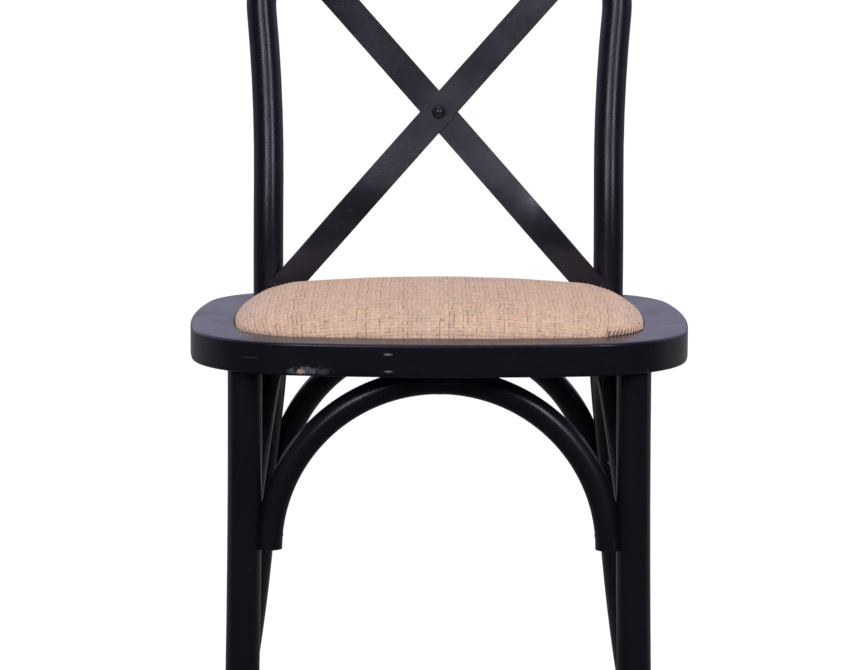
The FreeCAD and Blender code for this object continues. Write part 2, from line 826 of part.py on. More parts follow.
# Front legs
frontLegs = {}
for side in sides:
    word = "left" if side < 0 else "right"
    leg = newBody("FrontLeg" + word.capitalize())
    offset = frontLegOffset(side)
    reach = offset.Length
    radius = sweepRadius(reach, ringBottom)
    pathSketch = newSketch(leg, "LegPath" + word.capitalize(), "XZ_Plane")
    turn = math.asin(ringBottom / radius)
    circle = Part.Circle(Vector(radius, 0, 0), Vector(0, 0, 1), radius)
    pathSketch.addGeometry(Part.ArcOfCircle(circle, math.pi, math.pi + turn), False)
    splayReach = "sqrt(Dims.leg_splay ^ 2 + Dims.leg_forward ^ 2)"
    legDrop = "(Dims.seat_height - Dims.ring_thickness)"
    bindConstraint(
        pathSketch, Sketcher.Constraint("Radius", 0, radius), "bend",
        "(" + legDrop + " ^ 2 + " + splayReach + " ^ 2) / (2 * " + splayReach + ")",
    )
    pathSketch.addConstraint(Sketcher.Constraint("PointOnObject", 0, 3, -1))
    pathSketch.addConstraint(Sketcher.Constraint("Coincident", 0, 1, -1, 1))
    bindConstraint(
        pathSketch, Sketcher.Constraint("DistanceY", 0, 2, -1, 1, ringBottom), "drop", legDrop
    )
    sectionSketch = newSketch(leg, "LegSection" + word.capitalize(), "XY_Plane")
    section = sectionSketch.addGeometry(Part.Circle(Vector(0, 0, 0), Vector(0, 0, 1), legRadius), False)
    sectionSketch.addConstraint(Sketcher.Constraint("Coincident", section, 3, -1, 1))
    bindConstraint(
        sectionSketch, Sketcher.Constraint("Radius", section, legRadius), "radius", "Dims.leg_diameter / 2"
    )
    pipe = leg.newObject("PartDesign::AdditivePipe", "LegPipe" + word.capitalize())
    pipe.Profile = sectionSketch
    pipe.Spine = (pathSketch, ["Edge1"])
    tenon = newSketch(leg, "TenonCircle" + word.capitalize(), "XY_Plane")
    tenonCircle = tenon.addGeometry(
        Part.Circle(Vector(0, 0, 0), Vector(0, 0, 1), radiusOf("tenon_diameter")), False
    )
    tenon.addConstraint(Sketcher.Constraint("Coincident", tenonCircle, 3, -1, 1))
    bindConstraint(
        tenon, Sketcher.Constraint("Radius", tenonCircle, radiusOf("tenon_diameter")), "radius",
        "Dims.tenon_diameter / 2",
    )
    pad(leg, tenon, "Tenon" + word.capitalize(), "Dims.tenon_length")
    doc.recompute()
    heading = math.degrees(math.atan2(offset.y, offset.x))
    leg.Placement = Placement(frontLegTop(side), Rotation(Vector(0, 0, 1), heading))
    frontLegs[side] = leg

# Arches: a half circle of rod, flattened where it bears on the ring and hollowed to fit its legs
legRods = {}
for side in sides:
    rearOffset = Vector(side * hoop.footOffset.x, hoop.footOffset.y, 0)
    rearTop = rearLegAt(side, hoop.kneeHeight)
    frontPath = footPath(frontLegTop(side), frontLegOffset(side), ringBottom, 0)
    rearPath = footPath(rearTop, rearOffset, hoop.kneeHeight, 0)
    legRods[("front", side)] = rodAlong([frontPath], legRadius + clearance)
    legRods[("rear", side)] = rodAlong([rearPath], hoopRadius + clearance)

for arch in arches:
    body = newBody(arch.name + "_rod")
    pathSketch = newSketch(body, arch.name + "_path", "XY_Plane")
    circle = Part.Circle(Vector(0, 0, 0), Vector(0, 0, 1), arch.radius)
    pathSketch.addGeometry(Part.ArcOfCircle(circle, 0, math.pi), False)
    pathSketch.addConstraint(Sketcher.Constraint("Coincident", 0, 3, -1, 1))
    pathSketch.addConstraint(Sketcher.Constraint("PointOnObject", 0, 1, -1))
    pathSketch.addConstraint(Sketcher.Constraint("PointOnObject", 0, 2, -1))
    bindConstraint(
        pathSketch, Sketcher.Constraint("Radius", 0, arch.radius), "bend", "Dims." + arch.radiusAlias
    )
    sectionSketch = newSketch(body, arch.name + "_section", "XZ_Plane")
    section = sectionSketch.addGeometry(
        Part.Circle(Vector(arch.radius, 0, 0), Vector(0, 0, 1), archRadius), False
    )
    sectionSketch.addConstraint(Sketcher.Constraint("PointOnObject", section, 3, -1))
    bindConstraint(
        sectionSketch, Sketcher.Constraint("DistanceX", -1, 1, section, 3, arch.radius), "place",
        "Dims." + arch.radiusAlias,
    )
    bindConstraint(
        sectionSketch, Sketcher.Constraint("Radius", section, archRadius), "radius", "Dims.arch_diameter / 2"
    )
    pipe = body.newObject("PartDesign::AdditivePipe", arch.name + "_pipe")
    pipe.Profile = sectionSketch
    pipe.Spine = (pathSketch, ["Edge1"])
    body.Placement = arch.placement()
    head, direction = archSeatScrew(arch)
    holes = screwHole(arch.name + "_seat_hole", head, direction, "1.2 * Dims.arch_diameter")
    trims = [block(arch.name + "_seat_plane", ringBottom, "Dims.ring_thickness")]
    for end, leg in enumerate(arch.legs):
        head, direction = archLegScrew(arch, end)
        holes += screwHole(
            arch.name + "_leg_hole_" + str(end), head, direction, "1.2 * Dims.arch_diameter"
        )
        trims.append(shapeObject(arch.name + "_leg_" + str(end), legRods[leg]))
    finish(cutWith(arch.name + "_cut", body, holes, trims), arch.name)


def screwHolesInLegs(leg):
    """Holes that the arch screws need in one leg."""
    holes = []
    for arch in arches:
        for end in (0, 1):
            if arch.legs[end] != leg:
                continue
            head, direction = archLegScrew(arch, end)
            holes.append(cylinder(
                "leg_hole_" + arch.name + str(end), head, direction,
                "Dims.screw_diameter / 2 + Dims.fit_clearance",
                "Dims.arch_leg_screw_length + Dims.fit_clearance",
            ))
    return holes


for side in sides:
    word = "left" if side < 0 else "right"
    holes = screwHolesInLegs(("front", side))
    holes.append(nailHole("leg_nail_hole_" + word, frontLegAt(side, dim("glide_thickness"))))
    trims = [floorBox("LegFloor" + word)]
    finish(cutWith("FrontLegCut" + word, frontLegs[side], holes, trims), "front_leg_" + word)
    hoopTools += screwHolesInLegs(("rear", side))

# Cross of the back: two straps, each bent along an arc through its ends and the crossing
slatThickness = dim("slat_thickness")
slope = math.tan(math.radians(dim("slat_angle")))
crossHeight = dim("cross_height")
alongSlat = Vector(1, 0, slope)
alongSlat.normalize()

# Shares of a strap's length from either end, with the share of the end twist left there
twistFades = ((0.0, 1.0), (0.05, 1.0), (0.1, 0.85), (0.18, 0.5), (0.27, 0.12), (0.33, 0.0))
flatShares = (0.42, 0.58)


def cornerContact(endAngle, standoff):
    """Where the upper end of a strap touches the hoop's corner, and the direction away from the rod."""
    cornerRadius = dim("hoop_corner_radius")
    centreX, centreRise = hoop.cornerCentre
    tangent = alongSlat * math.cos(endAngle) + back * math.sin(endAngle)

    def at(angle):
        x = centreX + cornerRadius * math.cos(angle)
        point = hoop.planePoint(x, centreRise + cornerRadius * math.sin(angle))
        axis = Vector(-math.sin(angle), 0, 0) + hoop.upSlope * math.cos(angle)
        normal = axis.cross(tangent)
        normal.normalize()
        if normal.y > 0:
            normal = normal * -1
        return point, normal

    low = 0.0
    high = math.pi / 2
    for _ in range(50):
        middle = (low + high) / 2
        point, normal = at(middle)
        end = point + normal * standoff
        if end.z - crossHeight < slope * end.x:
            low = middle
        else:
            high = middle
    return point, normal


class Slat:
    """A strap from low on one upright to the hoop's corner on the other side, bent along an arc.

    It is worked out with its lower end on the left; mirror is -1 for the one that runs the other way.
    """

    def __init__(self, twist, mirror):
        self.mirror = mirror
        self.twist = math.radians(twist)
        gap = 2 * clearance
        standoff = hoopRadius + slatThickness / 2 + gap
        z = dim("slat_end_height")
        self.lowNormal = Vector(math.sin(self.twist), -math.cos(self.twist), 0)
        self.lowCentre = Vector(-uprightX, uprightY, z)
        contact = self.lowCentre + self.lowNormal * standoff
        lowX = (z - crossHeight) / slope
        slide = (lowX - contact.x) * math.tan(self.twist)
        self.low = Vector(lowX, contact.y + slide, z)
        startAngle = math.atan(alongSlat.x * math.tan(self.twist))
        endAngle = 0.0
        for _ in range(8):
            self.highCentre, self.highNormal = cornerContact(endAngle, standoff)
            high = self.highCentre + self.highNormal * standoff
            reach = (high - self.low).dot(alongSlat)
            chordAngle = math.atan2(high.y - self.low.y, reach)
            endAngle = 2 * chordAngle - startAngle
        self.high = high
        chord = math.hypot(reach, high.y - self.low.y)
        self.bend = chord / (2 * math.sin(chordAngle - startAngle))
        self.startAngle = startAngle
        self.edge = arcThrough(self.low, self.atAngle(chordAngle), high)
        crossReach = -lowX / alongSlat.x
        crossAngle = math.asin(crossReach / self.bend + math.sin(startAngle))
        self.cross = self.atAngle(crossAngle)
        # The face where the straps cross is square to both of them
        self.crossNormal = Vector(0, -alongSlat.z * math.cos(crossAngle), math.sin(crossAngle))
        self.crossNormal.normalize()

    def atAngle(self, angle):
        """Point of the arc where it leans back by angle."""
        reach = self.bend * (math.sin(angle) - math.sin(self.startAngle))
        deep = self.bend * (math.cos(self.startAngle) - math.cos(angle))
        return self.low + alongSlat * reach + back * deep

    def flip(self, vector):
        return Vector(vector.x * self.mirror, vector.y, vector.z)

    def section(self, distance, normal):
        """Rectangle across the strap at a distance along it, its face turned to normal."""
        first = self.edge.FirstParameter
        last = self.edge.LastParameter
        length = self.edge.Length
        inside = min(max(distance, 0.0), length)
        parameter = first + (last - first) * inside / length
        tangent = self.edge.tangentAt(parameter)
        point = self.edge.valueAt(parameter) + tangent * (distance - inside)
        across = tangent.cross(normal)
        across.normalize()
        face = across.cross(tangent)
        corners = []
        for a, b in ((-1, -1), (1, -1), (1, 1), (-1, 1)):
            corner = point + across * (a * dim("slat_width") / 2) + face * (b * slatThickness / 2)
            corners.append(self.flip(corner))
        return Part.makePolygon(corners + corners[:1])

    def solid(self):
        length = self.edge.Length
        stations = [
            (-dim("slat_tail"), self.lowNormal),
            (length + dim("slat_top_reach"), self.highNormal),
        ]
        for share, turn in twistFades:
            lowTurn = self.crossNormal * (1 - turn) + self.lowNormal * turn
            highTurn = self.crossNormal * (1 - turn) + self.highNormal * turn
            stations.append((length * share, lowTurn))
            stations.append((length * (1 - share), highTurn))
        for share in flatShares:
            stations.append((length * share, self.crossNormal))
        stations.sort(key=lambda station: station[0])
        return Part.makeLoft([self.section(*station) for station in stations], True, False)


def rearSlatTwist():
    """Twist of the rear strap that puts it just behind the front one where they cross."""
    wanted = Slat(dim("slat_twist_angle"), 1).cross.y + slatThickness + dim("slat_gap")
    low = dim("slat_twist_angle")
    high = 2 * low
    for _ in range(40):
        middle = (low + high) / 2
        if Slat(middle, -1).cross.y < wanted:
            low = middle
        else:
            high = middle
    return middle


slats = {
    "cross_slat_front": Slat(dim("slat_twist_angle"), 1),
    "cross_slat_rear": Slat(rearSlatTwist(), -1),
}


def slatScrews(slat):
    """Head points and directions of the two screws of a strap."""
    standoff = hoopRadius + slatThickness + 2 * clearance
    places = ((slat.lowCentre, slat.lowNormal), (slat.highCentre, slat.highNormal))
    return [
        (slat.flip(centre + normal * standoff), slat.flip(normal * -1)) for centre, normal in places
    ]


rivetAxis = slats["cross_slat_front"].crossNormal
rivetFront = slats["cross_slat_front"].cross + rivetAxis * (slatThickness / 2)
rivetGrip = 2 * slatThickness + dim("slat_gap") + dim("washer_thickness") + 2 * clearance

for name, slat in slats.items():
    strap = shapeObject(name + "_strap", slat.solid())
    holes = [cylinder(
        name + "_rivet_hole", rivetFront + rivetAxis * slatThickness, rivetAxis * -1,
        "Dims.rivet_shank_diameter / 2 + Dims.fit_clearance", "6 * Dims.slat_thickness",
    )]
    for index, (head, direction) in enumerate(slatScrews(slat)):
        holes += screwHole(
            name + "_screw_hole_" + str(index), head, direction, "2 * Dims.slat_thickness"
        )
        hoopTools.append(cylinder(
            "hoop_" + name + "_hole_" + str(index), head, direction,
            "Dims.screw_diameter / 2 + Dims.fit_clearance", "Dims.slat_screw_length + Dims.fit_clearance",
        ))
    trims = [block(name + "_seat_block", dim("slat_seat_gap"), "Dims.seat_height")]
    finish(cutWith(name + "_cut", strap, holes, trims), name)

finish(cutWith("HoopCut", hoopRod, hoopTools, [floorBox("HoopFloor")]), "back_hoop")


# Turned pieces: a half profile in the body's XZ plane, revolved about Z
def turnedBody(name, points):
    """Body turned from points (radius, height, and their expressions, None on an axis)."""
    body = newBody(name)
    sketch = newSketch(body, name + "Profile", "XZ_Plane")
    count = len(points)
    for index, (x, y, _, _) in enumerate(points):
        nextX, nextY = points[(index + 1) % count][:2]
        sketch.addGeometry(Part.LineSegment(Vector(x, y, 0), Vector(nextX, nextY, 0)), False)
    for index in range(count):
        sketch.addConstraint(Sketcher.Constraint("Coincident", index, 2, (index + 1) % count, 1))
    for index, (x, y, exprX, exprY) in enumerate(points):
        for axis, value, expression in (("X", x, exprX), ("Y", y, exprY)):
            if expression is None:
                rootAxis = -2 if axis == "X" else -1
                sketch.addConstraint(Sketcher.Constraint("PointOnObject", index, 1, rootAxis))
                continue
            first, second = ((-1, 1), (index, 1)) if value > 0 else ((index, 1), (-1, 1))
            constraint = Sketcher.Constraint("Distance" + axis, *first, *second, abs(value))
            bindConstraint(sketch, constraint, "p" + str(index) + axis.lower(), expression)
    revolution = body.newObject("PartDesign::Revolution", name + "Turn")
    revolution.Profile = sketch
    revolution.ReferenceAxis = (sketch, ["V_Axis"])
    revolution.Angle = 360
    doc.recompute()
    return body


def screwBody(name, lengthAlias):
    """Countersunk screw with its head's face at the origin, pointing along +Z."""
    headR = radiusOf("screw_head_diameter")
    shankR = radiusOf("screw_diameter")
    length = dim(lengthAlias)
    head = headR - shankR
    headExpr = "Dims.screw_head_diameter / 2"
    shankExpr = "Dims.screw_diameter / 2"
    taperExpr = "(Dims.screw_head_diameter - Dims.screw_diameter) / 2"
    lengthExpr = "Dims." + lengthAlias
    return turnedBody(name, [
        (0, 0, None, None),
        (headR, 0, headExpr, None),
        (shankR, head, shankExpr, taperExpr),
        (shankR, length - 2 * shankR, shankExpr, lengthExpr + " - Dims.screw_diameter"),
        (0, length, None, lengthExpr),
    ])


def placedCopies(name, master, placements, label):
    """Node that holds one copy of the master piece at each place."""
    copies = []
    for place in placements:
        shape = master.Shape.copy()
        shape.Placement = place.multiply(shape.Placement)
        copies.append(shape)
    return finish(shapeObject(name, Part.makeCompound(copies)), label)


# Screws
archSeatScrews = screwBody("ArchSeatScrew", "arch_seat_screw_length")
archLegScrews = screwBody("ArchLegScrew", "arch_leg_screw_length")
boardScrews = screwBody("BoardScrew", "board_screw_length")
slatScrew = screwBody("SlatScrew", "slat_screw_length")
placedCopies(
    "ArchSeatScrews", archSeatScrews,
    [axisPlacement(*archSeatScrew(arch)) for arch in arches], "arch_seat_screws",
)
placedCopies(
    "ArchLegScrews", archLegScrews,
    [axisPlacement(*archLegScrew(arch, end)) for arch in arches for end in (0, 1)], "arch_leg_screws",
)
placedCopies(
    "BoardScrews", boardScrews,
    [axisPlacement(point, up) for point in boardScrewPoints()], "seat_board_screws",
)
placedCopies(
    "SlatScrews", slatScrew,
    [axisPlacement(*place) for slat in slats.values() for place in slatScrews(slat)], "slat_screws",
)

# Rivet through both straps, with its washer behind them
domeHeight = dim("rivet_head_height")
domeRadius = (radiusOf("rivet_head_diameter") ** 2 + domeHeight ** 2) / (2 * domeHeight)
dome = doc.addObject("Part::Sphere", "RivetDome")
dome.setExpression(
    "Radius",
    "((Dims.rivet_head_diameter / 2) ^ 2 + Dims.rivet_head_height ^ 2) / (2 * Dims.rivet_head_height)",
)
dome.Placement.Base = Vector(0, 0, domeHeight - domeRadius)
domeBlank = cylinder(
    "RivetHead", Vector(0, 0, 0), up, "Dims.rivet_head_diameter / 2", "Dims.rivet_head_height"
)
domeHead = doc.addObject("Part::Common", "RivetDomeHead")
domeHead.Base = domeBlank
domeHead.Tool = dome
shank = cylinder(
    "RivetShank", Vector(0, 0, clearance), down, "Dims.rivet_shank_diameter / 2",
    "2 * Dims.slat_thickness + Dims.slat_gap + Dims.washer_thickness + 5 * Dims.fit_clearance",
)
tail = cylinder(
    "RivetTail", Vector(0, 0, -rivetGrip - clearance), down,
    "Dims.rivet_tail_diameter / 2", "Dims.rivet_tail_height",
)
rivet = doc.addObject("Part::MultiFuse", "Rivet")
rivet.Shapes = [domeHead, shank, tail]
rivetPlace = axisPlacement(rivetFront + rivetAxis * clearance, rivetAxis)
rivet.Placement = rivetPlace
finish(rivet, "cross_rivet")

washerBlank = cylinder(
    "WasherBlank", Vector(0, 0, 0), up, "Dims.washer_diameter / 2", "Dims.washer_thickness"
)
washerHole = cylinder(
    "WasherHole", Vector(0, 0, -dim("washer_thickness")), up,
    "Dims.rivet_shank_diameter / 2 + Dims.fit_clearance", "3 * Dims.washer_thickness",
)
washer = doc.addObject("Part::Cut", "RivetWasher")
washer.Base = washerBlank
washer.Tool = washerHole
washer.Placement = rivetPlace.multiply(
    Placement(Vector(0, 0, -rivetGrip + clearance / 2), Rotation())
)
finish(washer, "rivet_washer")

# Bolts through the uprights, each with a washer and a threaded insert in the ring
boltR = radiusOf("bolt_diameter")
boltHeadR = radiusOf("bolt_head_diameter")
bolt = turnedBody("Bolt", [
    (0, -dim("bolt_head_height"), None, "Dims.bolt_head_height"),
    (boltHeadR * 0.6, -dim("bolt_head_height"), "Dims.bolt_head_diameter * 0.3", "Dims.bolt_head_height"),
    (boltHeadR, -0.3 * dim("bolt_head_height"),
     "Dims.bolt_head_diameter / 2", "0.3 * Dims.bolt_head_height"),
    (boltHeadR, 0, "Dims.bolt_head_diameter / 2", None),
    (boltR, 0, "Dims.bolt_diameter / 2", None),
    (boltR, dim("bolt_length"), "Dims.bolt_diameter / 2", "Dims.bolt_length"),
    (0, dim("bolt_length"), None, "Dims.bolt_length"),
])
boltWasher = turnedBody("BoltWasher", [
    (boltR + clearance, 0, "Dims.bolt_diameter / 2 + Dims.fit_clearance", None),
    (radiusOf("bolt_washer_diameter"), 0, "Dims.bolt_washer_diameter / 2", None),
    (radiusOf("bolt_washer_diameter"), dim("bolt_washer_thickness"),
     "Dims.bolt_washer_diameter / 2", "Dims.bolt_washer_thickness"),
    (boltR + clearance, dim("bolt_washer_thickness"),
     "Dims.bolt_diameter / 2 + Dims.fit_clearance", "Dims.bolt_washer_thickness"),
])
boltInsert = turnedBody("BoltInsert", [
    (boltR + clearance / 2, 0, "(Dims.bolt_diameter + Dims.fit_clearance) / 2", None),
    (radiusOf("insert_diameter"), 0, "Dims.insert_diameter / 2", None),
    (radiusOf("insert_diameter"), dim("insert_length"), "Dims.insert_diameter / 2", "Dims.insert_length"),
    (boltR + clearance / 2, dim("insert_length"),
     "(Dims.bolt_diameter + Dims.fit_clearance) / 2", "Dims.insert_length"),
])
boltSeats = []
insertSeats = []
for side in sides:
    start, direction = boltLine(side)
    boltSeats.append(axisPlacement(start + direction * dim("bolt_sink"), direction))
    insertDepth = dim("hoop_diameter") + clearance * 2
    insertSeats.append(axisPlacement(start + direction * insertDepth, direction))
placedCopies("RearLegBolts", bolt, boltSeats, "rear_leg_bolts")
placedCopies("RearLegWashers", boltWasher, boltSeats, "rear_leg_washers")
placedCopies("RearLegInserts", boltInsert, insertSeats, "rear_leg_inserts")

# Feet: a glide under each leg, held by a nail whose head is sunk into the glide
nailR = radiusOf("nail_diameter")
nailHeadR = radiusOf("nail_head_diameter")
glideR = radiusOf("glide_diameter")
glideT = dim("glide_thickness")
sinkExpression = "Dims.glide_thickness * 0.4"
glide = turnedBody("Glide", [
    (nailHeadR + clearance, 0, "Dims.nail_head_diameter / 2 + Dims.fit_clearance", None),
    (glideR * 0.84, 0, "Dims.glide_diameter * 0.42", None),
    (glideR, glideT * 0.4, "Dims.glide_diameter / 2", sinkExpression),
    (glideR, glideT, "Dims.glide_diameter / 2", "Dims.glide_thickness"),
    (nailR + clearance, glideT, "Dims.nail_diameter / 2 + Dims.fit_clearance", "Dims.glide_thickness"),
    (nailR + clearance, glideT * 0.4, "Dims.nail_diameter / 2 + Dims.fit_clearance", sinkExpression),
    (nailHeadR + clearance, glideT * 0.4,
     "Dims.nail_head_diameter / 2 + Dims.fit_clearance", sinkExpression),
])
nail = turnedBody("Nail", [
    (0, glideT * 0.2, None, "Dims.glide_thickness * 0.2"),
    (nailHeadR, glideT * 0.2, "Dims.nail_head_diameter / 2", "Dims.glide_thickness * 0.2"),
    (nailHeadR, glideT * 0.4, "Dims.nail_head_diameter / 2", sinkExpression),
    (nailR, glideT * 0.4, "Dims.nail_diameter / 2", sinkExpression),
    (nailR, dim("nail_length") - 2 * nailR,
     "Dims.nail_diameter / 2", "Dims.nail_length - Dims.nail_diameter"),
    (0, dim("nail_length"), None, "Dims.nail_length"),
])
footPlaces = []
for side in sides:
    for foot in (frontLegAt(side, glideT), rearLegAt(side, glideT)):
        footPlaces.append(Placement(Vector(foot.x, foot.y, 0), Rotation()))
placedCopies("FootGlides", glide, footPlaces, "foot_glides")
placedCopies("GlideNails", nail, footPlaces, "glide_nails")

# Check every object, then write one file for each sub-part
doc.recompute()
for obj in doc.Objects:
    if "Invalid" in obj.State or "Error" in obj.State:
        raise ValueError(obj.Name + " failed: " + ", ".join(obj.State))
for obj in exported:
    if obj.Shape.isNull() or not obj.Shape.isValid():
        raise ValueError(obj.Label + " has no valid shape")

os.makedirs("parts", exist_ok=True)
for obj in exported:
    obj.Shape.exportStep(os.path.join("parts", obj.Label + ".step"))
    box = obj.Shape.optimalBoundingBox(False, False)
    print(
        obj.Label, len(obj.Shape.Solids), "volume", round(obj.Shape.Volume),
        "x", round(box.XMin, 1), round(box.XMax, 1), "y", round(box.YMin, 1), round(box.YMax, 1),
        "z", round(box.ZMin, 1), round(box.ZMax, 1),
    )
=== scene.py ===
import math
import random

import bmesh
import bpy
import numpy as np
from mathutils import Matrix, Vector


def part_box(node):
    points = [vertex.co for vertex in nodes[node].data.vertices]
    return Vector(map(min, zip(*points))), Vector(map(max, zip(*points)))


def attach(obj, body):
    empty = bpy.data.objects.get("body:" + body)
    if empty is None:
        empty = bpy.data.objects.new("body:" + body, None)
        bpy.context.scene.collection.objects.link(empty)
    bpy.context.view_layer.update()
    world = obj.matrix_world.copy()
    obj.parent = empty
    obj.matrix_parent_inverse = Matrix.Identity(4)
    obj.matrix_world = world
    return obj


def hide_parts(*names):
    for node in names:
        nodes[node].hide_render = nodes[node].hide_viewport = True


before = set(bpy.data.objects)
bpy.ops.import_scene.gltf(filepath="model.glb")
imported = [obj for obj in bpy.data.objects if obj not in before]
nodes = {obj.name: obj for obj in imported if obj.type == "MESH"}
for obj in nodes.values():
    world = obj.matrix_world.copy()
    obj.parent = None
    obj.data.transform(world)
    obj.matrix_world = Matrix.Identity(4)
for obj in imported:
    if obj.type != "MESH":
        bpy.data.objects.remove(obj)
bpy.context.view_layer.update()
scene = bpy.context.scene
scene.view_settings.view_transform = "Standard"


# node tree helpers

def put(tree, kind, inputs=None, **settings):
    node = tree.nodes.new(kind)
    for name, value in settings.items():
        setattr(node, name, value)
    for name, value in (inputs or {}).items():
        feed(tree, node.inputs[name], value)
    return node


def feed(tree, socket, value):
    if isinstance(value, bpy.types.NodeSocket):
        tree.links.new(value, socket)
    else:
        socket.default_value = value


def maths(tree, operation, *values, clamp=False):
    node = tree.nodes.new("ShaderNodeMath")
    node.operation = operation
    node.use_clamp = clamp
    for index, value in enumerate(values):
        feed(tree, node.inputs[index], value)
    return node.outputs[0]


def vectorMaths(tree, operation, *values):
    node = tree.nodes.new("ShaderNodeVectorMath")
    node.operation = operation
    for index, value in enumerate(values):
        feed(tree, node.inputs[index], value)
    return node.outputs["Value" if operation in ("DOT_PRODUCT", "LENGTH") else "Vector"]


def product(tree, first, second):
    return maths(tree, "MULTIPLY", first, second)


def split(tree, vector):
    return put(tree, "ShaderNodeSeparateXYZ", {"Vector": vector}).outputs


def joined(tree, x, y, z):
    return put(tree, "ShaderNodeCombineXYZ", {"X": x, "Y": y, "Z": z}).outputs[0]


def mapped(tree, vector, **inputs):
    return put(tree, "ShaderNodeMapping", {"Vector": vector, **inputs}).outputs[0]


def randomTone(tree, **inputs):
    # one random value for each whole number W, or for each whole Vector
    dimensions = "1D" if "W" in inputs else "3D"
    node = put(tree, "ShaderNodeTexWhiteNoise", inputs, noise_dimensions=dimensions)
    return node.outputs["Value"]


def remap(tree, value, low, high, toLow=0.0, toHigh=1.0):
    return put(
        tree, "ShaderNodeMapRange",
        {"Value": value, "From Min": low, "From Max": high, "To Min": toLow, "To Max": toHigh},
        interpolation_type="SMOOTHSTEP",
    ).outputs["Result"]


def mixColours(tree, factor, first, second):
    node = tree.nodes.new("ShaderNodeMix")
    node.data_type = "RGBA"
    for index, value in ((0, factor), (6, first), (7, second)):
        feed(tree, node.inputs[index], value)
    return node.outputs[2]


def grainNoise(tree, vector, scale, detail=3.0, roughness=0.55):
    return put(
        tree, "ShaderNodeTexNoise",
        {"Vector": vector, "Scale": scale, "Detail": detail, "Roughness": roughness},
    ).outputs["Fac"]


def newGroup(name, inputs, outputs):
    group = bpy.data.node_groups.new(name, "ShaderNodeTree")
    for socketName, kind, value in inputs:
        socket = group.interface.new_socket(
            socketName, in_out="INPUT", socket_type="NodeSocket" + kind,
        )
        if value is not None:
            socket.default_value = value
    for socketName, kind in outputs:
        group.interface.new_socket(socketName, in_out="OUTPUT", socket_type="NodeSocket" + kind)
    start = group.nodes.new("NodeGroupInput")
    end = group.nodes.new("NodeGroupOutput")
    return group, start.outputs, end.inputs


def sendOut(group, out, values):
    for name, value in values.items():
        group.links.new(value, out[name])
    return group


def place(tree, group, inputs):
    node = tree.nodes.new("ShaderNodeGroup")
    node.node_tree = group
    for name, value in inputs.items():
        feed(tree, node.inputs[name], value)
    return node.outputs


def newMaterial(name):
    material = bpy.data.materials.new(name)
    material.use_nodes = True
    tree = material.node_tree
    tree.nodes.clear()
    out = tree.nodes.new("ShaderNodeOutputMaterial")
    shader = tree.nodes.new("ShaderNodeBsdfPrincipled")
    tree.links.new(shader.outputs["BSDF"], out.inputs["Surface"])
    objectPlace = tree.nodes.new("ShaderNodeTexCoord").outputs["Object"]
    return material, tree, shader, objectPlace


def shade(tree, shader, colour, roughness, normal):
    for name, value in (("Base Color", colour), ("Roughness", roughness), ("Normal", normal)):
        feed(tree, shader.inputs[name], value)


def bump(tree, height, strength, distance, normal=None):
    inputs = {"Height": height, "Strength": strength, "Distance": distance}
    if normal:
        inputs["Normal"] = normal
    return put(tree, "ShaderNodeBump", inputs).outputs["Normal"]


# shared surface effects

def makeWoodGrain():
    # grain runs along Z of the vector that comes in
    group, given, out = newGroup(
        "woodGrain",
        [("Vector", "Vector", None), ("Scale", "Float", 160.0), ("Stretch", "Float", 0.06)],
        [("Streak", "Float"), ("Pores", "Float")],
    )
    squeeze = joined(group, 1.0, 1.0, given["Stretch"])
    along = vectorMaths(group, "MULTIPLY", given["Vector"], squeeze)
    streak = grainNoise(group, along, given["Scale"], 4.0, 0.6)
    pores = grainNoise(group, along, product(group, given["Scale"], 6.0), 2.0, 0.5)
    return sendOut(group, out, {"Streak": streak, "Pores": remap(group, pores, 0.35, 0.62)})


def makeSatinFilm():
    # slow waves of a sprayed film, its small pits, and rubbed patches
    group, given, out = newGroup(
        "satinFilm",
        [("Vector", "Vector", None), ("Ripple", "Float", 260.0), ("Patches", "Float", 14.0)],
        [("Height", "Float"), ("Rubbed", "Float"), ("Scratches", "Float")],
    )
    ripple = grainNoise(group, given["Vector"], given["Ripple"], 2.0, 0.45)
    patches = grainNoise(group, given["Vector"], given["Patches"], 5.0, 0.65)
    # long thin cells, turned off every axis, that the scratches run along
    turned = mapped(group, given["Vector"], Rotation=(0.5, 0.3, 0.9), Scale=(40.0, 700.0, 90.0))
    hairs = grainNoise(group, turned, 1.0, 1.0, 0.4)
    few = remap(group, grainNoise(group, given["Vector"], 22.0, 2.0), 0.55, 0.7)
    scratches = product(group, remap(group, hairs, 0.68, 0.74), few)
    rubbed = remap(group, patches, 0.35, 0.7)
    return sendOut(group, out, {"Height": ripple, "Rubbed": rubbed, "Scratches": scratches})


def makeEdgeWear():
    # an edge is where the rounded normal leaves the plain one
    group, given, out = newGroup(
        "edgeWear",
        [("Vector", "Vector", None), ("Width", "Float", 0.0015), ("Patches", "Float", 60.0)],
        [("Edge", "Float"), ("Worn", "Float")],
    )
    rounded = put(group, "ShaderNodeBevel", {"Radius": given["Width"]}, samples=4).outputs["Normal"]
    plain = group.nodes.new("ShaderNodeNewGeometry").outputs["Normal"]
    turn = vectorMaths(group, "DOT_PRODUCT", rounded, plain)
    edge = remap(group, turn, 0.99, 0.8)
    patches = grainNoise(group, given["Vector"], given["Patches"], 5.0, 0.7)
    worn = product(group, edge, remap(group, patches, 0.5, 0.62))
    return sendOut(group, out, {"Edge": edge, "Worn": worn})


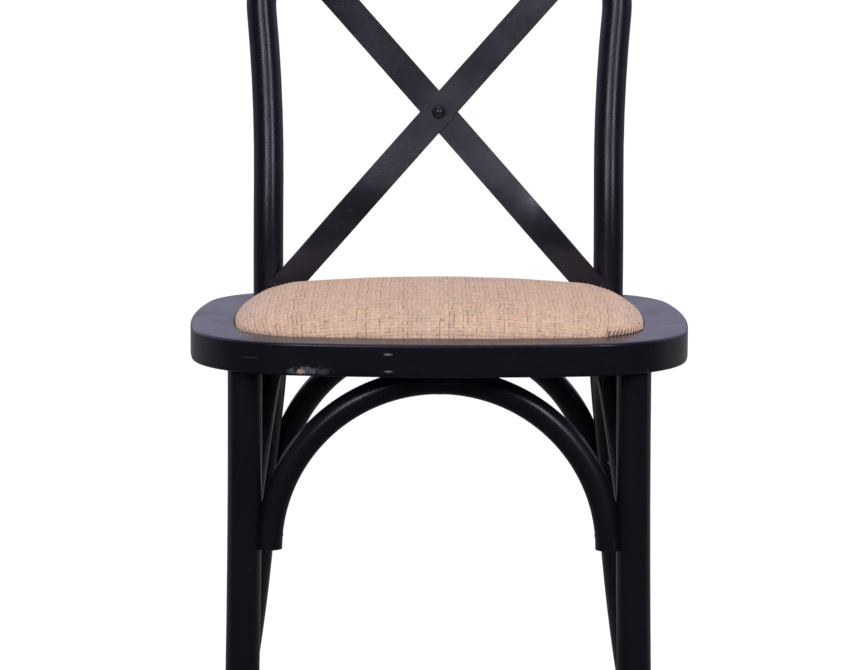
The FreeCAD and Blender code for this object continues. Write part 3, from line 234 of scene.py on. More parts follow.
def makeDust():
    # specks that lie in clouds on the faces that look up
    group, given, out = newGroup(
        "settledDust",
        [("Vector", "Vector", None), ("Size", "Float", 900.0), ("Share", "Float", 0.12)],
        [("Mask", "Float")],
    )
    facing = group.nodes.new("ShaderNodeNewGeometry").outputs["Normal"]
    upward = remap(group, split(group, facing)["Z"], 0.2, 0.9)
    specks = put(
        group, "ShaderNodeTexVoronoi", {"Vector": given["Vector"], "Scale": given["Size"]},
    ).outputs["Distance"]
    dots = remap(group, specks, given["Share"], 0.0)
    cloud = remap(group, grainNoise(group, given["Vector"], 30.0, 4.0), 0.45, 0.75)
    return sendOut(group, out, {"Mask": product(group, product(group, dots, cloud), upward)})


def makeChip():
    # one broken spot with a ragged rim, at Centre
    group, given, out = newGroup(
        "paintChip",
        [
            ("Vector", "Vector", None), ("Centre", "Vector", None),
            ("Size", "Vector", (0.01, 0.01, 0.01)), ("Ragged", "Float", 0.7),
        ],
        [("Bare", "Float"), ("Scuff", "Float")],
    )
    away = vectorMaths(group, "SUBTRACT", given["Vector"], given["Centre"])
    scaled = vectorMaths(group, "DIVIDE", away, given["Size"])
    reach = vectorMaths(group, "LENGTH", scaled)
    rough = maths(group, "SUBTRACT", grainNoise(group, given["Vector"], 420.0, 5.0, 0.7), 0.5)
    uneven = maths(group, "MULTIPLY_ADD", rough, product(group, given["Ragged"], 4.0), reach)
    bare = remap(group, uneven, 1.05, 0.85)
    scuff = remap(group, uneven, 1.5, 0.7)
    return sendOut(group, out, {"Bare": bare, "Scuff": scuff})


def makeArchLine():
    # turns a point near a round arch, seen from its centre, into (across, radial, along)
    group, given, out = newGroup(
        "alongArch", [("Vector", "Vector", None), ("Radius", "Float", 0.16)],
        [("Vector", "Vector")],
    )
    parts = split(group, given["Vector"])
    angle = maths(group, "ARCTAN2", parts["Z"], parts["X"])
    along = product(group, angle, given["Radius"])
    upSquare = product(group, parts["Z"], parts["Z"])
    radial = maths(group, "SQRT", maths(group, "MULTIPLY_ADD", parts["X"], parts["X"], upSquare))
    return sendOut(group, out, {"Vector": joined(group, parts["Y"], radial, along)})


weaving = {
    "sway": 0.0016,  # metres that the strands wander
    "swayScale": 110.0,
    "fall": 2.08,  # at 2 a strand's top falls off at the pitch's edge, above 2 it leaves a gap
    "joint": (0.32, 0.48),  # where the painted shade in a joint starts and is full, in pitches
    "rowJointShade": 0.7,  # painted shade in joints between rows, against that in joints between columns
    "runs": 0.27,  # runs of one tone along a strand, per crossing
    "runSpread": 5.0,
    "rowSeed": 311.7,  # so that a row's tone isn't its column's
    "fibreThin": 2600.0,
    "fibreLong": 120.0,
    "spotScale": 36.0,
}


def makeCaneWeave():
    # plain weave of flat strands; the vector is the flat sheet in metres
    group, given, out = newGroup(
        "caneWeave",
        [("Vector", "Vector", None), ("Pitch", "Float", 0.0045)],
        [
            ("Height", "Float"), ("Joint Shade", "Float"), ("Strand Tone", "Float"), ("Cell Tone", "Float"),
            ("Fibre", "Float"), ("Brown Spot", "Float"), ("Run Tone", "Float"),
        ],
    )
    sway = put(
        group, "ShaderNodeTexNoise",
        {"Vector": given["Vector"], "Scale": weaving["swayScale"], "Detail": 1.0},
    ).outputs["Color"]
    shift = vectorMaths(group, "SUBTRACT", sway, (0.5, 0.5, 0.5))
    shift = vectorMaths(group, "MULTIPLY", shift, (weaving["sway"], weaving["sway"], 0.0))
    swayed = vectorMaths(group, "ADD", given["Vector"], shift)
    pitches = joined(group, given["Pitch"], given["Pitch"], 1.0)
    parts = split(group, vectorMaths(group, "DIVIDE", swayed, pitches))
    column = maths(group, "FLOOR", parts["X"])
    row = maths(group, "FLOOR", parts["Y"])
    acrossX = maths(group, "SUBTRACT", maths(group, "SUBTRACT", parts["X"], column), 0.5)
    acrossY = maths(group, "SUBTRACT", maths(group, "SUBTRACT", parts["Y"], row), 0.5)
    parity = maths(group, "FLOORED_MODULO", maths(group, "ADD", column, row), 2.0)

    def choose(whenColumn, whenRow):
        # the value of the strand that lies on top at this crossing
        difference = maths(group, "SUBTRACT", whenRow, whenColumn)
        return maths(group, "MULTIPLY_ADD", parity, difference, whenColumn)

    def strandShape(across, along):
        widened = maths(group, "ABSOLUTE", product(group, across, weaving["fall"]))
        crown = maths(group, "SUBTRACT", 1.0, maths(group, "POWER", widened, 4.0), clamp=True)
        arch = maths(group, "COSINE", product(group, along, math.pi))
        return product(group, crown, maths(group, "MULTIPLY_ADD", arch, 0.6, 0.4))

    def paintedJointShade(across, where, other, depth):
        # painted shade in the joint beside a strand, stronger at some joints and broken into dashes
        joint = maths(group, "FLOOR", maths(group, "ADD", where, 0.5))
        strong = remap(group, randomTone(group, W=joint), 0.1, 0.9, 0.3, 1.0)
        dash = randomTone(group, Vector=joined(group, joint, other, depth))
        line = remap(group, maths(group, "ABSOLUTE", across), *weaving["joint"])
        broken = product(group, strong, remap(group, dash, 0.35, 0.85, 0.06, 1.0))
        return product(group, product(group, line, broken), depth)

    columnTone = randomTone(group, W=column)
    rowTone = randomTone(group, W=maths(group, "ADD", row, weaving["rowSeed"]))
    runStart = product(group, columnTone, weaving["runSpread"])
    run = maths(group, "FLOOR", maths(group, "MULTIPLY_ADD", parts["Y"], weaving["runs"], runStart))
    cellTone = randomTone(group, Vector=joined(group, column, row, 0.0))
    thin, long = weaving["fibreThin"], weaving["fibreLong"]
    fibresDown = mapped(group, given["Vector"], Scale=(thin, long, 1.0))
    fibresAcross = mapped(group, given["Vector"], Scale=(long, thin, 1.0))
    patches = grainNoise(group, given["Vector"], weaving["spotScale"], 4.0, 0.7)
    return sendOut(group, out, {
        "Height": choose(strandShape(acrossX, acrossY), strandShape(acrossY, acrossX)),
        # painted shade in the joints where strands dip under each other
        "Joint Shade": maths(
            group, "MAXIMUM", paintedJointShade(acrossX, parts["X"], row, 1.0),
            paintedJointShade(acrossY, parts["Y"], column, weaving["rowJointShade"]),
        ),
        "Strand Tone": choose(columnTone, rowTone),
        "Cell Tone": cellTone,
        "Run Tone": randomTone(group, Vector=joined(group, column, run, 5.0)),
        "Fibre": choose(
            grainNoise(group, fibresDown, 1.0, 2.0), grainNoise(group, fibresAcross, 1.0, 2.0),
        ),
        "Brown Spot": product(
            group, remap(group, cellTone, 0.88, 1.0), remap(group, patches, 0.42, 0.66),
        ),
    })


woodGrain = makeWoodGrain()
satinFilm = makeSatinFilm()
edgeWear = makeEdgeWear()
settledDust = makeDust()
paintChip = makeChip()
alongArch = makeArchLine()
caneWeave = makeCaneWeave()
print("shared surface effects made")


# black lacquer

lacquer = {
    "black": (0.0042, 0.0038, 0.0074, 1.0),
    "thin": (0.0080, 0.0072, 0.0122, 1.0),
    "sheenTint": (0.80, 0.80, 1.0, 1.0),
    "dust": (0.12, 0.12, 0.125, 1.0),
    "undercoat": (0.085, 0.09, 0.12, 1.0),
    "scuffed": (0.16, 0.17, 0.21, 1.0),
    "bareWood": (0.36, 0.21, 0.12, 1.0),
    "palePores": (0.50, 0.34, 0.22, 1.0),
    "smooth": 0.24,
    "rubbed": 0.32,
    "grain": 0.05,
    "grainDepth": 0.0006,
    "ripple": 0.03,
    "rippleDepth": 0.0012,
    "worn": 0.35,
    "scratched": 0.18,
    "dusty": 0.5,
    "chipDepth": 2.5,
}


def lacquerMaterial(name, grainLine, spots=()):
    material, tree, shader, point = newMaterial(name)
    line = grainLine(tree, point)
    grain = place(tree, woodGrain, {"Vector": line, "Scale": 170.0, "Stretch": 0.05})
    film = place(tree, satinFilm, {"Vector": point, "Ripple": 240.0, "Patches": 13.0})
    wear = place(tree, edgeWear, {"Vector": point, "Width": 0.0012, "Patches": 45.0})
    dust = place(tree, settledDust, {"Vector": point, "Size": 700.0, "Share": 0.14})["Mask"]
    colour = mixColours(tree, grain["Streak"], lacquer["black"], lacquer["thin"])
    for mask, share in ((wear["Worn"], "worn"), (film["Scratches"], "scratched")):
        shown = product(tree, mask, lacquer[share])
        colour = mixColours(tree, shown, colour, lacquer["undercoat"])
    roughness = remap(tree, film["Rubbed"], 0.0, 1.0, lacquer["smooth"], lacquer["rubbed"])
    roughness = maths(tree, "MULTIPLY_ADD", grain["Pores"], 0.03, roughness)
    height = maths(tree, "MULTIPLY_ADD", grain["Pores"], -0.25, grain["Streak"])
    for spot in spots:
        chip = place(tree, paintChip, {
            "Vector": point, "Centre": spot["centre"], "Size": spot["size"],
            "Ragged": spot["ragged"],
        })
        scuff = product(tree, chip["Scuff"], spot["scuff"])
        colour = mixColours(tree, scuff, colour, lacquer["scuffed"])
        roughness = maths(tree, "MULTIPLY_ADD", scuff, 0.5, roughness, clamp=True)
        if spot["bare"]:
            wood = mixColours(tree, grain["Pores"], lacquer["bareWood"], lacquer["palePores"])
            colour = mixColours(tree, chip["Bare"], colour, wood)
            roughness = maths(tree, "MULTIPLY_ADD", chip["Bare"], 0.4, roughness, clamp=True)
            height = maths(
                tree, "MULTIPLY_ADD", chip["Bare"], -lacquer["chipDepth"], height,
            )
    colour = mixColours(tree, product(tree, dust, lacquer["dusty"]), colour, lacquer["dust"])
    normal = bump(tree, height, lacquer["grain"], lacquer["grainDepth"])
    normal = bump(tree, film["Height"], lacquer["ripple"], lacquer["rippleDepth"], normal)
    shade(tree, shader, colour, roughness, normal)
    shader.inputs["Specular Tint"].default_value = lacquer["sheenTint"]
    return material


# the three ways the grain can run; each gives the vector that the grain is read along
def grainUp(tree, point):
    return point


def grainSideways(tree, point):
    return mapped(tree, point, Rotation=(0.0, math.pi / 2, 0.0))


def grainAlongArch(node, sideways):
    # an arch's centre is in the middle of its box, at the bottom
    low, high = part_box(node)
    centre = (low + high) / 2
    centre.z = low.z
    width = (high.y - low.y) if sideways else (high.x - low.x)
    turn = -math.pi / 2 if sideways else 0.0

    def line(tree, point):
        moved = vectorMaths(tree, "SUBTRACT", point, tuple(centre))
        spun = mapped(tree, moved, Rotation=(0.0, 0.0, turn))
        return place(tree, alongArch, {"Vector": spun, "Radius": width / 2})["Vector"]

    return line


# knocks and scuffs on the ring's front: (centre, size, ragged, scuff, down to the wood)
ringMarks = [
    ((-0.1335, -0.236, 0.4328), (0.0036, 0.02, 0.0030), 0.8, 0.0, True),
    ((-0.1270, -0.237, 0.4335), (0.0070, 0.02, 0.0030), 1.5, 0.45, False),
    ((-0.1420, -0.234, 0.4330), (0.0034, 0.02, 0.0022), 1.5, 0.4, False),
    ((-0.1130, -0.238, 0.4325), (0.0050, 0.02, 0.0030), 1.5, 0.2, False),
    ((-0.1830, -0.222, 0.4440), (0.0070, 0.02, 0.0003), 0.6, 0.3, False),
    ((-0.0500, -0.243, 0.4505), (0.0036, 0.02, 0.0009), 0.7, 1.0, False),
    ((-0.0495, -0.243, 0.4340), (0.0034, 0.02, 0.0008), 0.7, 1.0, False),
]
ringSpots = [dict(zip(("centre", "size", "ragged", "scuff", "bare"), mark)) for mark in ringMarks]


def dress(names, material):
    for name in names:
        nodes[name].data.materials.clear()
        nodes[name].data.materials.append(material)


uprightLacquer = lacquerMaterial("lacquerUpright", grainUp)
dress(["back_hoop", "front_leg_left", "front_leg_right"], uprightLacquer)
dress(["seat_ring"], lacquerMaterial("lacquerSeatRing", grainSideways, ringSpots))
for archName in ("front_arch", "rear_arch", "side_arch_left", "side_arch_right"):
    archGrain = grainAlongArch(archName, archName.startswith("side"))
    dress([archName], lacquerMaterial("lacquer" + archName.title().replace("_", ""), archGrain))
print("lacquered wood dressed")


# painted steel straps and rivet

paint = {
    "black": (0.0105, 0.0105, 0.0160, 1.0),
    "chalky": (0.0190, 0.0190, 0.0270, 1.0),
    "bareSteel": (0.22, 0.22, 0.23, 1.0),
    "smooth": 0.17,
    "rubbed": 0.22,
    "rivetSmooth": 0.12,
    "rivetRubbed": 0.2,
    "worn": 0.4,
    "scratched": 0.07,
    "dusty": 0.4,
}


def paintMaterial(name, smooth, rubbed):
    material, tree, shader, point = newMaterial(name)
    film = place(tree, satinFilm, {"Vector": point, "Ripple": 420.0, "Patches": 20.0})
    wear = place(tree, edgeWear, {"Vector": point, "Width": 0.0007, "Patches": 70.0})
    dust = place(tree, settledDust, {"Vector": point, "Size": 800.0, "Share": 0.12})["Mask"]
    colour = mixColours(tree, film["Rubbed"], paint["black"], paint["chalky"])
    for mask, share in ((wear["Worn"], "worn"), (film["Scratches"], "scratched")):
        shown = product(tree, mask, paint[share])
        colour = mixColours(tree, shown, colour, paint["bareSteel"])
    colour = mixColours(tree, product(tree, dust, paint["dusty"]), colour, lacquer["dust"])
    roughness = remap(tree, film["Rubbed"], 0.0, 1.0, smooth, rubbed)
    roughness = maths(tree, "MULTIPLY_ADD", film["Height"], 0.05, roughness)
    shade(tree, shader, colour, roughness, bump(tree, film["Height"], 0.06, 0.0008))
    shader.inputs["Specular Tint"].default_value = lacquer["sheenTint"]
    return material


strapPaint = paintMaterial("strapPaint", paint["smooth"], paint["rubbed"])
dress(["cross_slat_front", "cross_slat_rear"], strapPaint)
dress(["cross_rivet"], paintMaterial("rivetPaint", paint["rivetSmooth"], paint["rivetRubbed"]))
print("straps dressed")


# zinc fasteners, glides and plywood

zinc = {
    "bright": (0.60, 0.60, 0.61, 1.0), "dull": (0.36, 0.36, 0.37, 1.0),
    "smooth": 0.24, "worn": 0.46,
}
glidePlastic = {
    "dark": (0.028, 0.028, 0.030, 1.0), "scuffed": (0.09, 0.088, 0.085, 1.0),
    "smooth": 0.45, "worn": 0.65,
}
plywood = {
    "pale": (0.60, 0.43, 0.26, 1.0), "dark": (0.38, 0.23, 0.12, 1.0), "ply": 0.0015,
    "smooth": 0.55, "rough": 0.75,
}


def zincMaterial():
    material, tree, shader, point = newMaterial("zincPlating")
    film = place(tree, satinFilm, {"Vector": point, "Ripple": 900.0, "Patches": 160.0})
    wear = place(tree, edgeWear, {"Vector": point, "Width": 0.0003, "Patches": 200.0})
    colour = mixColours(tree, film["Rubbed"], zinc["bright"], zinc["dull"])
    colour = mixColours(tree, wear["Edge"], colour, zinc["bright"])
    roughness = remap(tree, film["Rubbed"], 0.0, 1.0, zinc["smooth"], zinc["worn"])
    shade(tree, shader, colour, roughness, bump(tree, film["Height"], 0.15, 0.0003))
    shader.inputs["Metallic"].default_value = 1.0
    return material


def glideMaterial():
    material, tree, shader, point = newMaterial("glidePlastic")
    film = place(tree, satinFilm, {"Vector": point, "Ripple": 1200.0, "Patches": 120.0})
    wear = place(tree, edgeWear, {"Vector": point, "Width": 0.0008, "Patches": 150.0})
    worn = maths(tree, "ADD", wear["Worn"], film["Scratches"], clamp=True)
    colour = mixColours(tree, worn, glidePlastic["dark"], glidePlastic["scuffed"])
    smooth, rough = glidePlastic["smooth"], glidePlastic["worn"]
    roughness = remap(tree, film["Rubbed"], 0.0, 1.0, smooth, rough)
    shade(tree, shader, colour, roughness, bump(tree, film["Height"], 0.25, 0.0003))
    return material


def plywoodMaterial():
    material, tree, shader, point = newMaterial("plywood")
    line = grainSideways(tree, point)
    grain = place(tree, woodGrain, {"Vector": line, "Scale": 90.0, "Stretch": 0.04})
    colour = mixColours(tree, grain["Streak"], plywood["pale"], plywood["dark"])
    # every second ply is darker
    layer = maths(tree, "FLOOR", maths(tree, "DIVIDE", split(tree, point)["Z"], plywood["ply"]))
    second = maths(tree, "FLOORED_MODULO", layer, 2.0)
    colour = mixColours(tree, product(tree, second, 0.35), colour, plywood["dark"])
    roughness = remap(tree, grain["Pores"], 0.0, 1.0, plywood["smooth"], plywood["rough"])
    shade(tree, shader, colour, roughness, bump(tree, grain["Streak"], 0.3, 0.0008))
    return material


zincPlating = zincMaterial()
dress(["rivet_washer", "rear_leg_washers", "rear_leg_inserts", "glide_nails"], zincPlating)
dress(["foot_glides"], glideMaterial())
dress(["seat_board"], plywoodMaterial())


# screws and bolts with their drive recesses

def meshFrom(name, shape):
    mesh = bpy.data.meshes.new(name)
    shape.to_mesh(mesh)
    shape.free()
    return mesh


def finishPiece(name, shape, material, slot, *replaced):
    mesh = meshFrom(name, shape)
    piece = bpy.data.objects.new(name, mesh)
    scene.collection.objects.link(piece)
    mesh.materials.append(material)
    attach(piece, "root")
    if replaced:
        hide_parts(*replaced)
    return piece


turnedSides = 12  # a recess's mouth has as many corners
weldGap = 2e-5


def latheProfile(shape, profile):
    # spins a chain of (radius, height) points about Z
    made = [shape.verts.new((radius, 0.0, height)) for radius, height in profile]
    edges = [shape.edges.new(pair) for pair in zip(made, made[1:])]
    bmesh.ops.spin(
        shape, geom=made + edges, cent=(0, 0, 0), axis=(0, 0, 1), dvec=(0, 0, 0),
        angle=2 * math.pi, steps=turnedSides, use_merge=True, use_duplicate=False,
    )
    bmesh.ops.remove_doubles(shape, verts=shape.verts, dist=1e-6)


def recessedHead(shape, radius, mouth, depth, taper):
    # disc that closes a turned head at z = 0, with a recess in it
    made = bmesh.ops.create_circle(
        shape, cap_ends=True, radius=radius, segments=turnedSides,
    )["verts"]
    face = made[0].link_faces[0]
    bmesh.ops.inset_region(shape, faces=[face], thickness=radius * 0.3)
    for vert, (x, y) in zip(face.verts, mouth):
        vert.co = Vector((x, y, 0.0))
    bmesh.ops.recalc_face_normals(shape, faces=shape.faces)
    floor = bmesh.ops.extrude_discrete_faces(shape, faces=[face])["faces"][0]
    bmesh.ops.translate(shape, verts=floor.verts, vec=(0, 0, depth))
    bmesh.ops.scale(shape, verts=floor.verts, vec=(taper, taper, 1.0))
    bmesh.ops.remove_doubles(shape, verts=shape.verts, dist=weldGap)


def crossMouth(reach, arm):
    # corners of a cross, three to each arm
    corners = []
    for quarter in range(4):
        turn = Matrix.Rotation(quarter * math.pi / 2, 2)
        for x, y in ((reach, -arm), (reach, arm), (arm, arm)):
            corners.append(turn @ Vector((x, y)))
    return corners


def hexMouth(reach):
    # corners of a hexagon and the middles of its sides
    corners = []
    for step in range(turnedSides):
        angle = step * math.pi / 6
        size = reach if step % 2 == 0 else reach * math.cos(math.pi / 6)
        corners.append(Vector((size * math.cos(angle), size * math.sin(angle))))
    return corners


def nodeAxes(node):
    # where each turned solid of a node starts, and its direction, from its loose shells
    shape = bmesh.new()
    shape.from_mesh(nodes[node].data)
    bmesh.ops.remove_doubles(shape, verts=shape.verts, dist=1e-5)
    shape.verts.ensure_lookup_table()
    seen = set()
    axes = []
    for vert in shape.verts:
        if vert.index in seen:
            continue
        shell = [vert]
        seen.add(vert.index)
        for item in shell:
            for edge in item.link_edges:
                other = edge.other_vert(item)
                if other.index not in seen:
                    seen.add(other.index)
                    shell.append(other)
        points = np.array([item.co for item in shell])
        centre = points.mean(0)
        direction = np.linalg.svd(points - centre)[2][0]
        steps = (points - centre) @ direction
        spread = np.linalg.norm(points - centre - np.outer(steps, direction), axis=1)
        # the widest points are the head's, so the direction leads away from them
        if steps[spread > spread.max() * 0.98].mean() > 0:
            direction = -direction
            steps = -steps
        middle = centre + direction * (steps.min() + steps.max()) / 2
        length = steps.max() - steps.min()
        axes.append((Vector(middle - direction * length / 2), Vector(direction), length))
    shape.free()
    return axes


screw = {
    "head": 0.0037, "shank": 0.0018, "thread": 0.0003, "pitch": 0.0016, "threaded": 0.62,
    "recess": 0.0021, "arm": 0.00045, "depth": 0.0013, "taper": 0.55,
}
bolt = {
    "head": 0.006, "tall": 0.0036, "shank": 0.003, "thread": 0.0003, "pitch": 0.001, "rings": 18,
    "face": 0.62, "socket": 0.0022, "depth": 0.0024, "taper": 0.98,
}


def screwShape(shape, length):
    # countersunk head, bare neck, thread rings and a point; the head's face is at z = 0
    head, shank, pitch = screw["head"], screw["shank"], screw["pitch"]
    root = shank - screw["thread"]
    rings = int((length * screw["threaded"]) / pitch)
    start = length - 2 * shank - rings * pitch
    profile = [(head, 0.0), (head, 0.0001), (shank, head - shank), (shank - 0.0001, start)]
    for ring in range(rings):
        base = start + ring * pitch
        profile += [(root, base + 0.0004), (shank - 0.00005, base + 0.0008)]
    profile += [(root, length - 2 * shank), (0.0001, length), (0.0, length)]
    latheProfile(shape, profile)
    mouth = crossMouth(screw["recess"], screw["arm"])
    recessedHead(shape, head, mouth, screw["depth"], screw["taper"])


def boltShape(shape, length):
    # low cap head with a hexagon socket and a rolled rim; the head's outer face is at z = 0
    head, tall, shank, pitch = bolt["head"], bolt["tall"], bolt["shank"], bolt["pitch"]
    flat = head * bolt["face"]
    profile = [
        (flat, 0.0), (head * 0.82, 0.0004), (head * 0.95, 0.0013),
        (head, 0.0024), (head, tall), (shank, tall),
    ]
    for ring in range(bolt["rings"]):
        base = length - pitch * (bolt["rings"] + 1 - ring)
        profile += [(shank - bolt["thread"], base), (shank, base + 0.0005)]
    profile += [(shank - 0.0004, length), (0.0, length)]
    latheProfile(shape, profile)
    recessedHead(shape, flat, hexMouth(bolt["socket"]), bolt["depth"], bolt["taper"])


def fastenerPiece(name, node, shaper):
    # one turned shape for each solid of the node, where that solid is
    whole = bmesh.new()
    for start, direction, length in nodeAxes(node):
        single = bmesh.new()
        shaper(single, length)
        bmesh.ops.recalc_face_normals(single, faces=single.faces)
        turn = direction.to_track_quat("Z", "Y").to_matrix().to_4x4()
        bmesh.ops.transform(single, matrix=Matrix.Translation(start) @ turn, verts=single.verts)
        mesh = meshFrom("single", single)
        whole.from_mesh(mesh)
        bpy.data.meshes.remove(mesh)
    finishPiece(name, whole, zincPlating, "zinc_steel", node)


for pieceName, nodeName in (
    ("slatScrewsDetailed", "slat_screws"), ("archSeatScrewsDetailed", "arch_seat_screws"),
    ("archLegScrewsDetailed", "arch_leg_screws"), ("boardScrewsDetailed", "seat_board_screws"),
):
    fastenerPiece(pieceName, nodeName, screwShape)
fastenerPiece("legBoltsDetailed", "rear_leg_bolts", boltShape)
print("fasteners made")


# woven rattan seat

seat = {
    "pitch": 0.0045,  # from one strand to the next
    "samples": 4,  # mesh steps in a pitch
    "relief": 0.00042,
    "sunk": 0.0001,
    "crown": 0.0285,
    "shoulder": 0.09064,  # inset at which the crown is level
    "rimTop": 0.4612,
    "rimBlend": 0.004,
    "foot": 0.4572,
    "fullness": 0.94,
    "sideFall": 0.34,  # how much lower the crown is at the sides
    "wobble": 0.0007,
    "wobbleInset": 0.03,
    "edgeInset": 0.0446,
    "profile": (  # (share of the shoulder, share of the crown)
        (0.0, 0.0), (0.022, 0.17), (0.075, 0.36), (0.18, 0.62), (0.36, 0.84), (0.62, 0.96),
        (0.88, 1.0),
    ),
}
ringOutline = {
    "width": 0.498, "depth": 0.412, "widest": 0.195, "front": 1.0, "side": 0.7, "rear": 0.9,
    "frontCorner": 0.118, "rearCorner": 0.100,
}


def circlesMeet(centreA, radiusA, centreB, radiusB):
    # the two points that two circles share
    gap = centreB - centreA
    distance = gap.length
    along = (radiusA ** 2 - radiusB ** 2 + distance ** 2) / (2 * distance)
    across = math.sqrt(radiusA ** 2 - along ** 2)
    unit = gap / distance
    middle = centreA + unit * along
    side = Vector((-unit.y, unit.x)) * across
    return [middle + side, middle - side]


def seatArcs():
    # the pad's edge: four long arcs (centre, radius) and four corners (centre, radius, from, to)
    inset = seat["edgeInset"]
    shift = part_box("seat_ring")[0].y
    size = ringOutline
    sideCentre = size["side"] - size["width"] / 2
    arcs = [
        (Vector((0.0, size["front"] + shift)), size["front"] - inset),
        (Vector((-sideCentre, size["widest"] + shift)), size["side"] - inset),
        (Vector((0.0, size["depth"] - size["rear"] + shift)), size["rear"] - inset),
        (Vector((sideCentre, size["widest"] + shift)), size["side"] - inset),
    ]
    corners = []
    for index, corner in enumerate(("frontCorner", "rearCorner", "rearCorner", "frontCorner")):
        radius = size[corner] - inset
        centreA, radiusA = arcs[index]
        centreB, radiusB = arcs[(index + 1) % 4]
        outward = Vector((1 if index in (0, 1) else -1, -1 if index in (0, 3) else 1))
        meet = circlesMeet(centreA, radiusA - radius, centreB, radiusB - radius)
        centre = max(meet, key=outward.dot)
        first, last = ((centre - long).normalized() for long in (centreA, centreB))
        corners.append((centre, radius, first, last))
    return arcs, corners


def edgeDistance(points):
    # distance inside the pad's edge, and the direction away from that edge
    distance = np.full(len(points), 1e9)
    inward = np.zeros_like(points)
    for centre, radius in longArcs:
        away = points - np.array(centre)
        reach = np.linalg.norm(away, axis=1)
        nearer = radius - reach < distance
        distance[nearer] = (radius - reach)[nearer]
        inward[nearer] = -(away / reach[:, None])[nearer]
    for centre, radius, first, last in cornerArcs:
        away = points - np.array(centre)
        reach = np.maximum(np.linalg.norm(away, axis=1), 1e-9)
        fromFirst = first.x * away[:, 1] - first.y * away[:, 0] >= 0
        beforeLast = away[:, 0] * last.y - away[:, 1] * last.x >= 0
        inside = fromFirst & beforeLast
        distance[inside] = (radius - reach)[inside]
        inward[inside] = -(away / reach[:, None])[inside]
    return distance, inward


def crownCurve():
    # (arc length, inset, height) from the foot of the pad's edge to its flat top
    pairs = np.array(seat["profile"])
    inset = pairs[:, 0] * seat["shoulder"]
    height = seat["rimTop"] + pairs[:, 1] * seat["crown"]
    # the wall below the profile, and a level run past the shoulder
    inset = np.concatenate([[0.0], inset, [seat["shoulder"], seat["shoulder"] * 1.1]])
    height = np.concatenate([[seat["foot"]], height, [height[-1], height[-1]]])
    length = np.concatenate([[0.0], np.cumsum(np.hypot(np.diff(inset), np.diff(height)))])
    fine = np.linspace(0.0, length[-1], 1200)
    inset = np.interp(fine, length, inset)
    height = np.interp(fine, length, height)
    reach = 30  # samples on each side that round the corners off
    window = np.hanning(2 * reach + 1)
    window /= window.sum()
    for values in (inset, height):
        before = 2 * values[0] - values[reach:0:-1]
        after = 2 * values[-1] - values[-2:-reach - 2:-1]
        values[:] = np.convolve(np.concatenate([before, values, after]), window, mode="valid")
    return fine, inset, height


curveLength, curveInset, curveHeight = crownCurve()
longArcs, cornerArcs = seatArcs()
coverLow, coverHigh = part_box("rattan_cover")
flatExtra = curveLength[-1] - curveInset[-1]


def ontoPad(flat, lift):
    # places points of the flat woven sheet on the crowned pad, raised along its normal by lift
    distance, inward = edgeDistance(flat)
    along = np.clip(distance + flatExtra, 0.0, None)
    inset = np.interp(along, curveLength, curveInset)
    inset = np.where(along > curveLength[-1], distance, inset)
    height = np.interp(along, curveLength, curveHeight)
    probe = 0.0004
    ahead, behind = (np.interp(along + way, curveLength, curveHeight) for way in (probe, -probe))
    slope = np.clip((ahead - behind) / (2 * probe), 0.0, 1.0)
    level = np.sqrt(1 - slope ** 2)
    placed = flat + inward * (inset - distance)[:, None]
    fuller = seat["fullness"] - seat["sideFall"] * (placed[:, 0] / coverHigh.x) ** 2
    aboveRim = height > seat["rimTop"]
    height = seat["rimTop"] + (height - seat["rimTop"]) * np.where(aboveRim, fuller, 1.0)
    # strands that aren't quite straight, away from the edge
    wave = seat["wobble"] * np.clip(distance / seat["wobbleInset"], 0.0, 1.0)
    x, y = flat[:, 0], flat[:, 1]
    placed[:, 0] += wave * (np.sin(y * 95 + x * 31) + 0.5 * np.sin(y * 210 + 1.3))
    placed[:, 1] += wave * (np.sin(x * 88 + 0.7) + 0.5 * np.sin(x * 190 + y * 40))
    outward = -inward * slope[:, None]
    return np.column_stack([placed + outward * lift[:, None], height + level * lift])


def weaveRelief(flat):
    # height of the upper strand at a point, 0 in the gaps and 1 at the middle of a crossing
    counted = flat / seat["pitch"]
    cell = np.floor(counted + 1e-6)
    part = counted - cell - 0.5
    columnOver = (cell.sum(1) % 2) < 0.5
    across = np.where(columnOver, part[:, 0], part[:, 1])
    along = np.where(columnOver, part[:, 1], part[:, 0])
    crown = np.clip(1 - np.abs(across * 2) ** 4, 0.0, 1.0)
    return crown * (0.35 + 0.65 * np.cos(along * math.pi))


strandEnds = {
    "width": 0.0031, "thick": 0.0008, "length": 0.011, "count": 13,
    "from": -1.05, "to": -0.16,  # angles round the right front corner
    "lean": 0.8, "seed": 7, "uneven": (0.85, 1.15), "narrowing": 0.35,
    "wrap": 0.8,  # how far down the pad's edge the ends start
    "shift": 0.137,  # metres of the pattern from one strand to the next
    # how far the painted shade under the ends reaches, how it fades and how dark it is
    "paintedShadeReach": 0.66, "paintedShadeFade": 0.0025, "paintedShadeDark": 0.85,
}
endsCentre, endsRadius = next(arc[:2] for arc in cornerArcs if arc[0].x > 0 > arc[0].y)


def paintedShadeUnderEnds(tree, sheetPlace):
    # painted shade: the weave darkened under the loose strand ends
    away = vectorMaths(tree, "SUBTRACT", sheetPlace, (endsCentre.x, endsCentre.y, 0.0))
    inside = maths(tree, "SUBTRACT", endsRadius, vectorMaths(tree, "LENGTH", away))
    parts = split(tree, away)
    turn = maths(tree, "ARCTAN2", parts["Y"], parts["X"])
    reach = strandEnds["length"] * strandEnds["paintedShadeReach"] - flatExtra * strandEnds["wrap"]
    near = remap(tree, inside, reach, reach - strandEnds["paintedShadeFade"])
    fade = 0.02
    started = remap(tree, turn, strandEnds["from"] - fade, strandEnds["from"] + fade)
    going = remap(tree, turn, strandEnds["to"] + fade, strandEnds["to"] - fade)
    span = product(tree, started, going)
    return product(tree, product(tree, near, span), strandEnds["paintedShadeDark"])


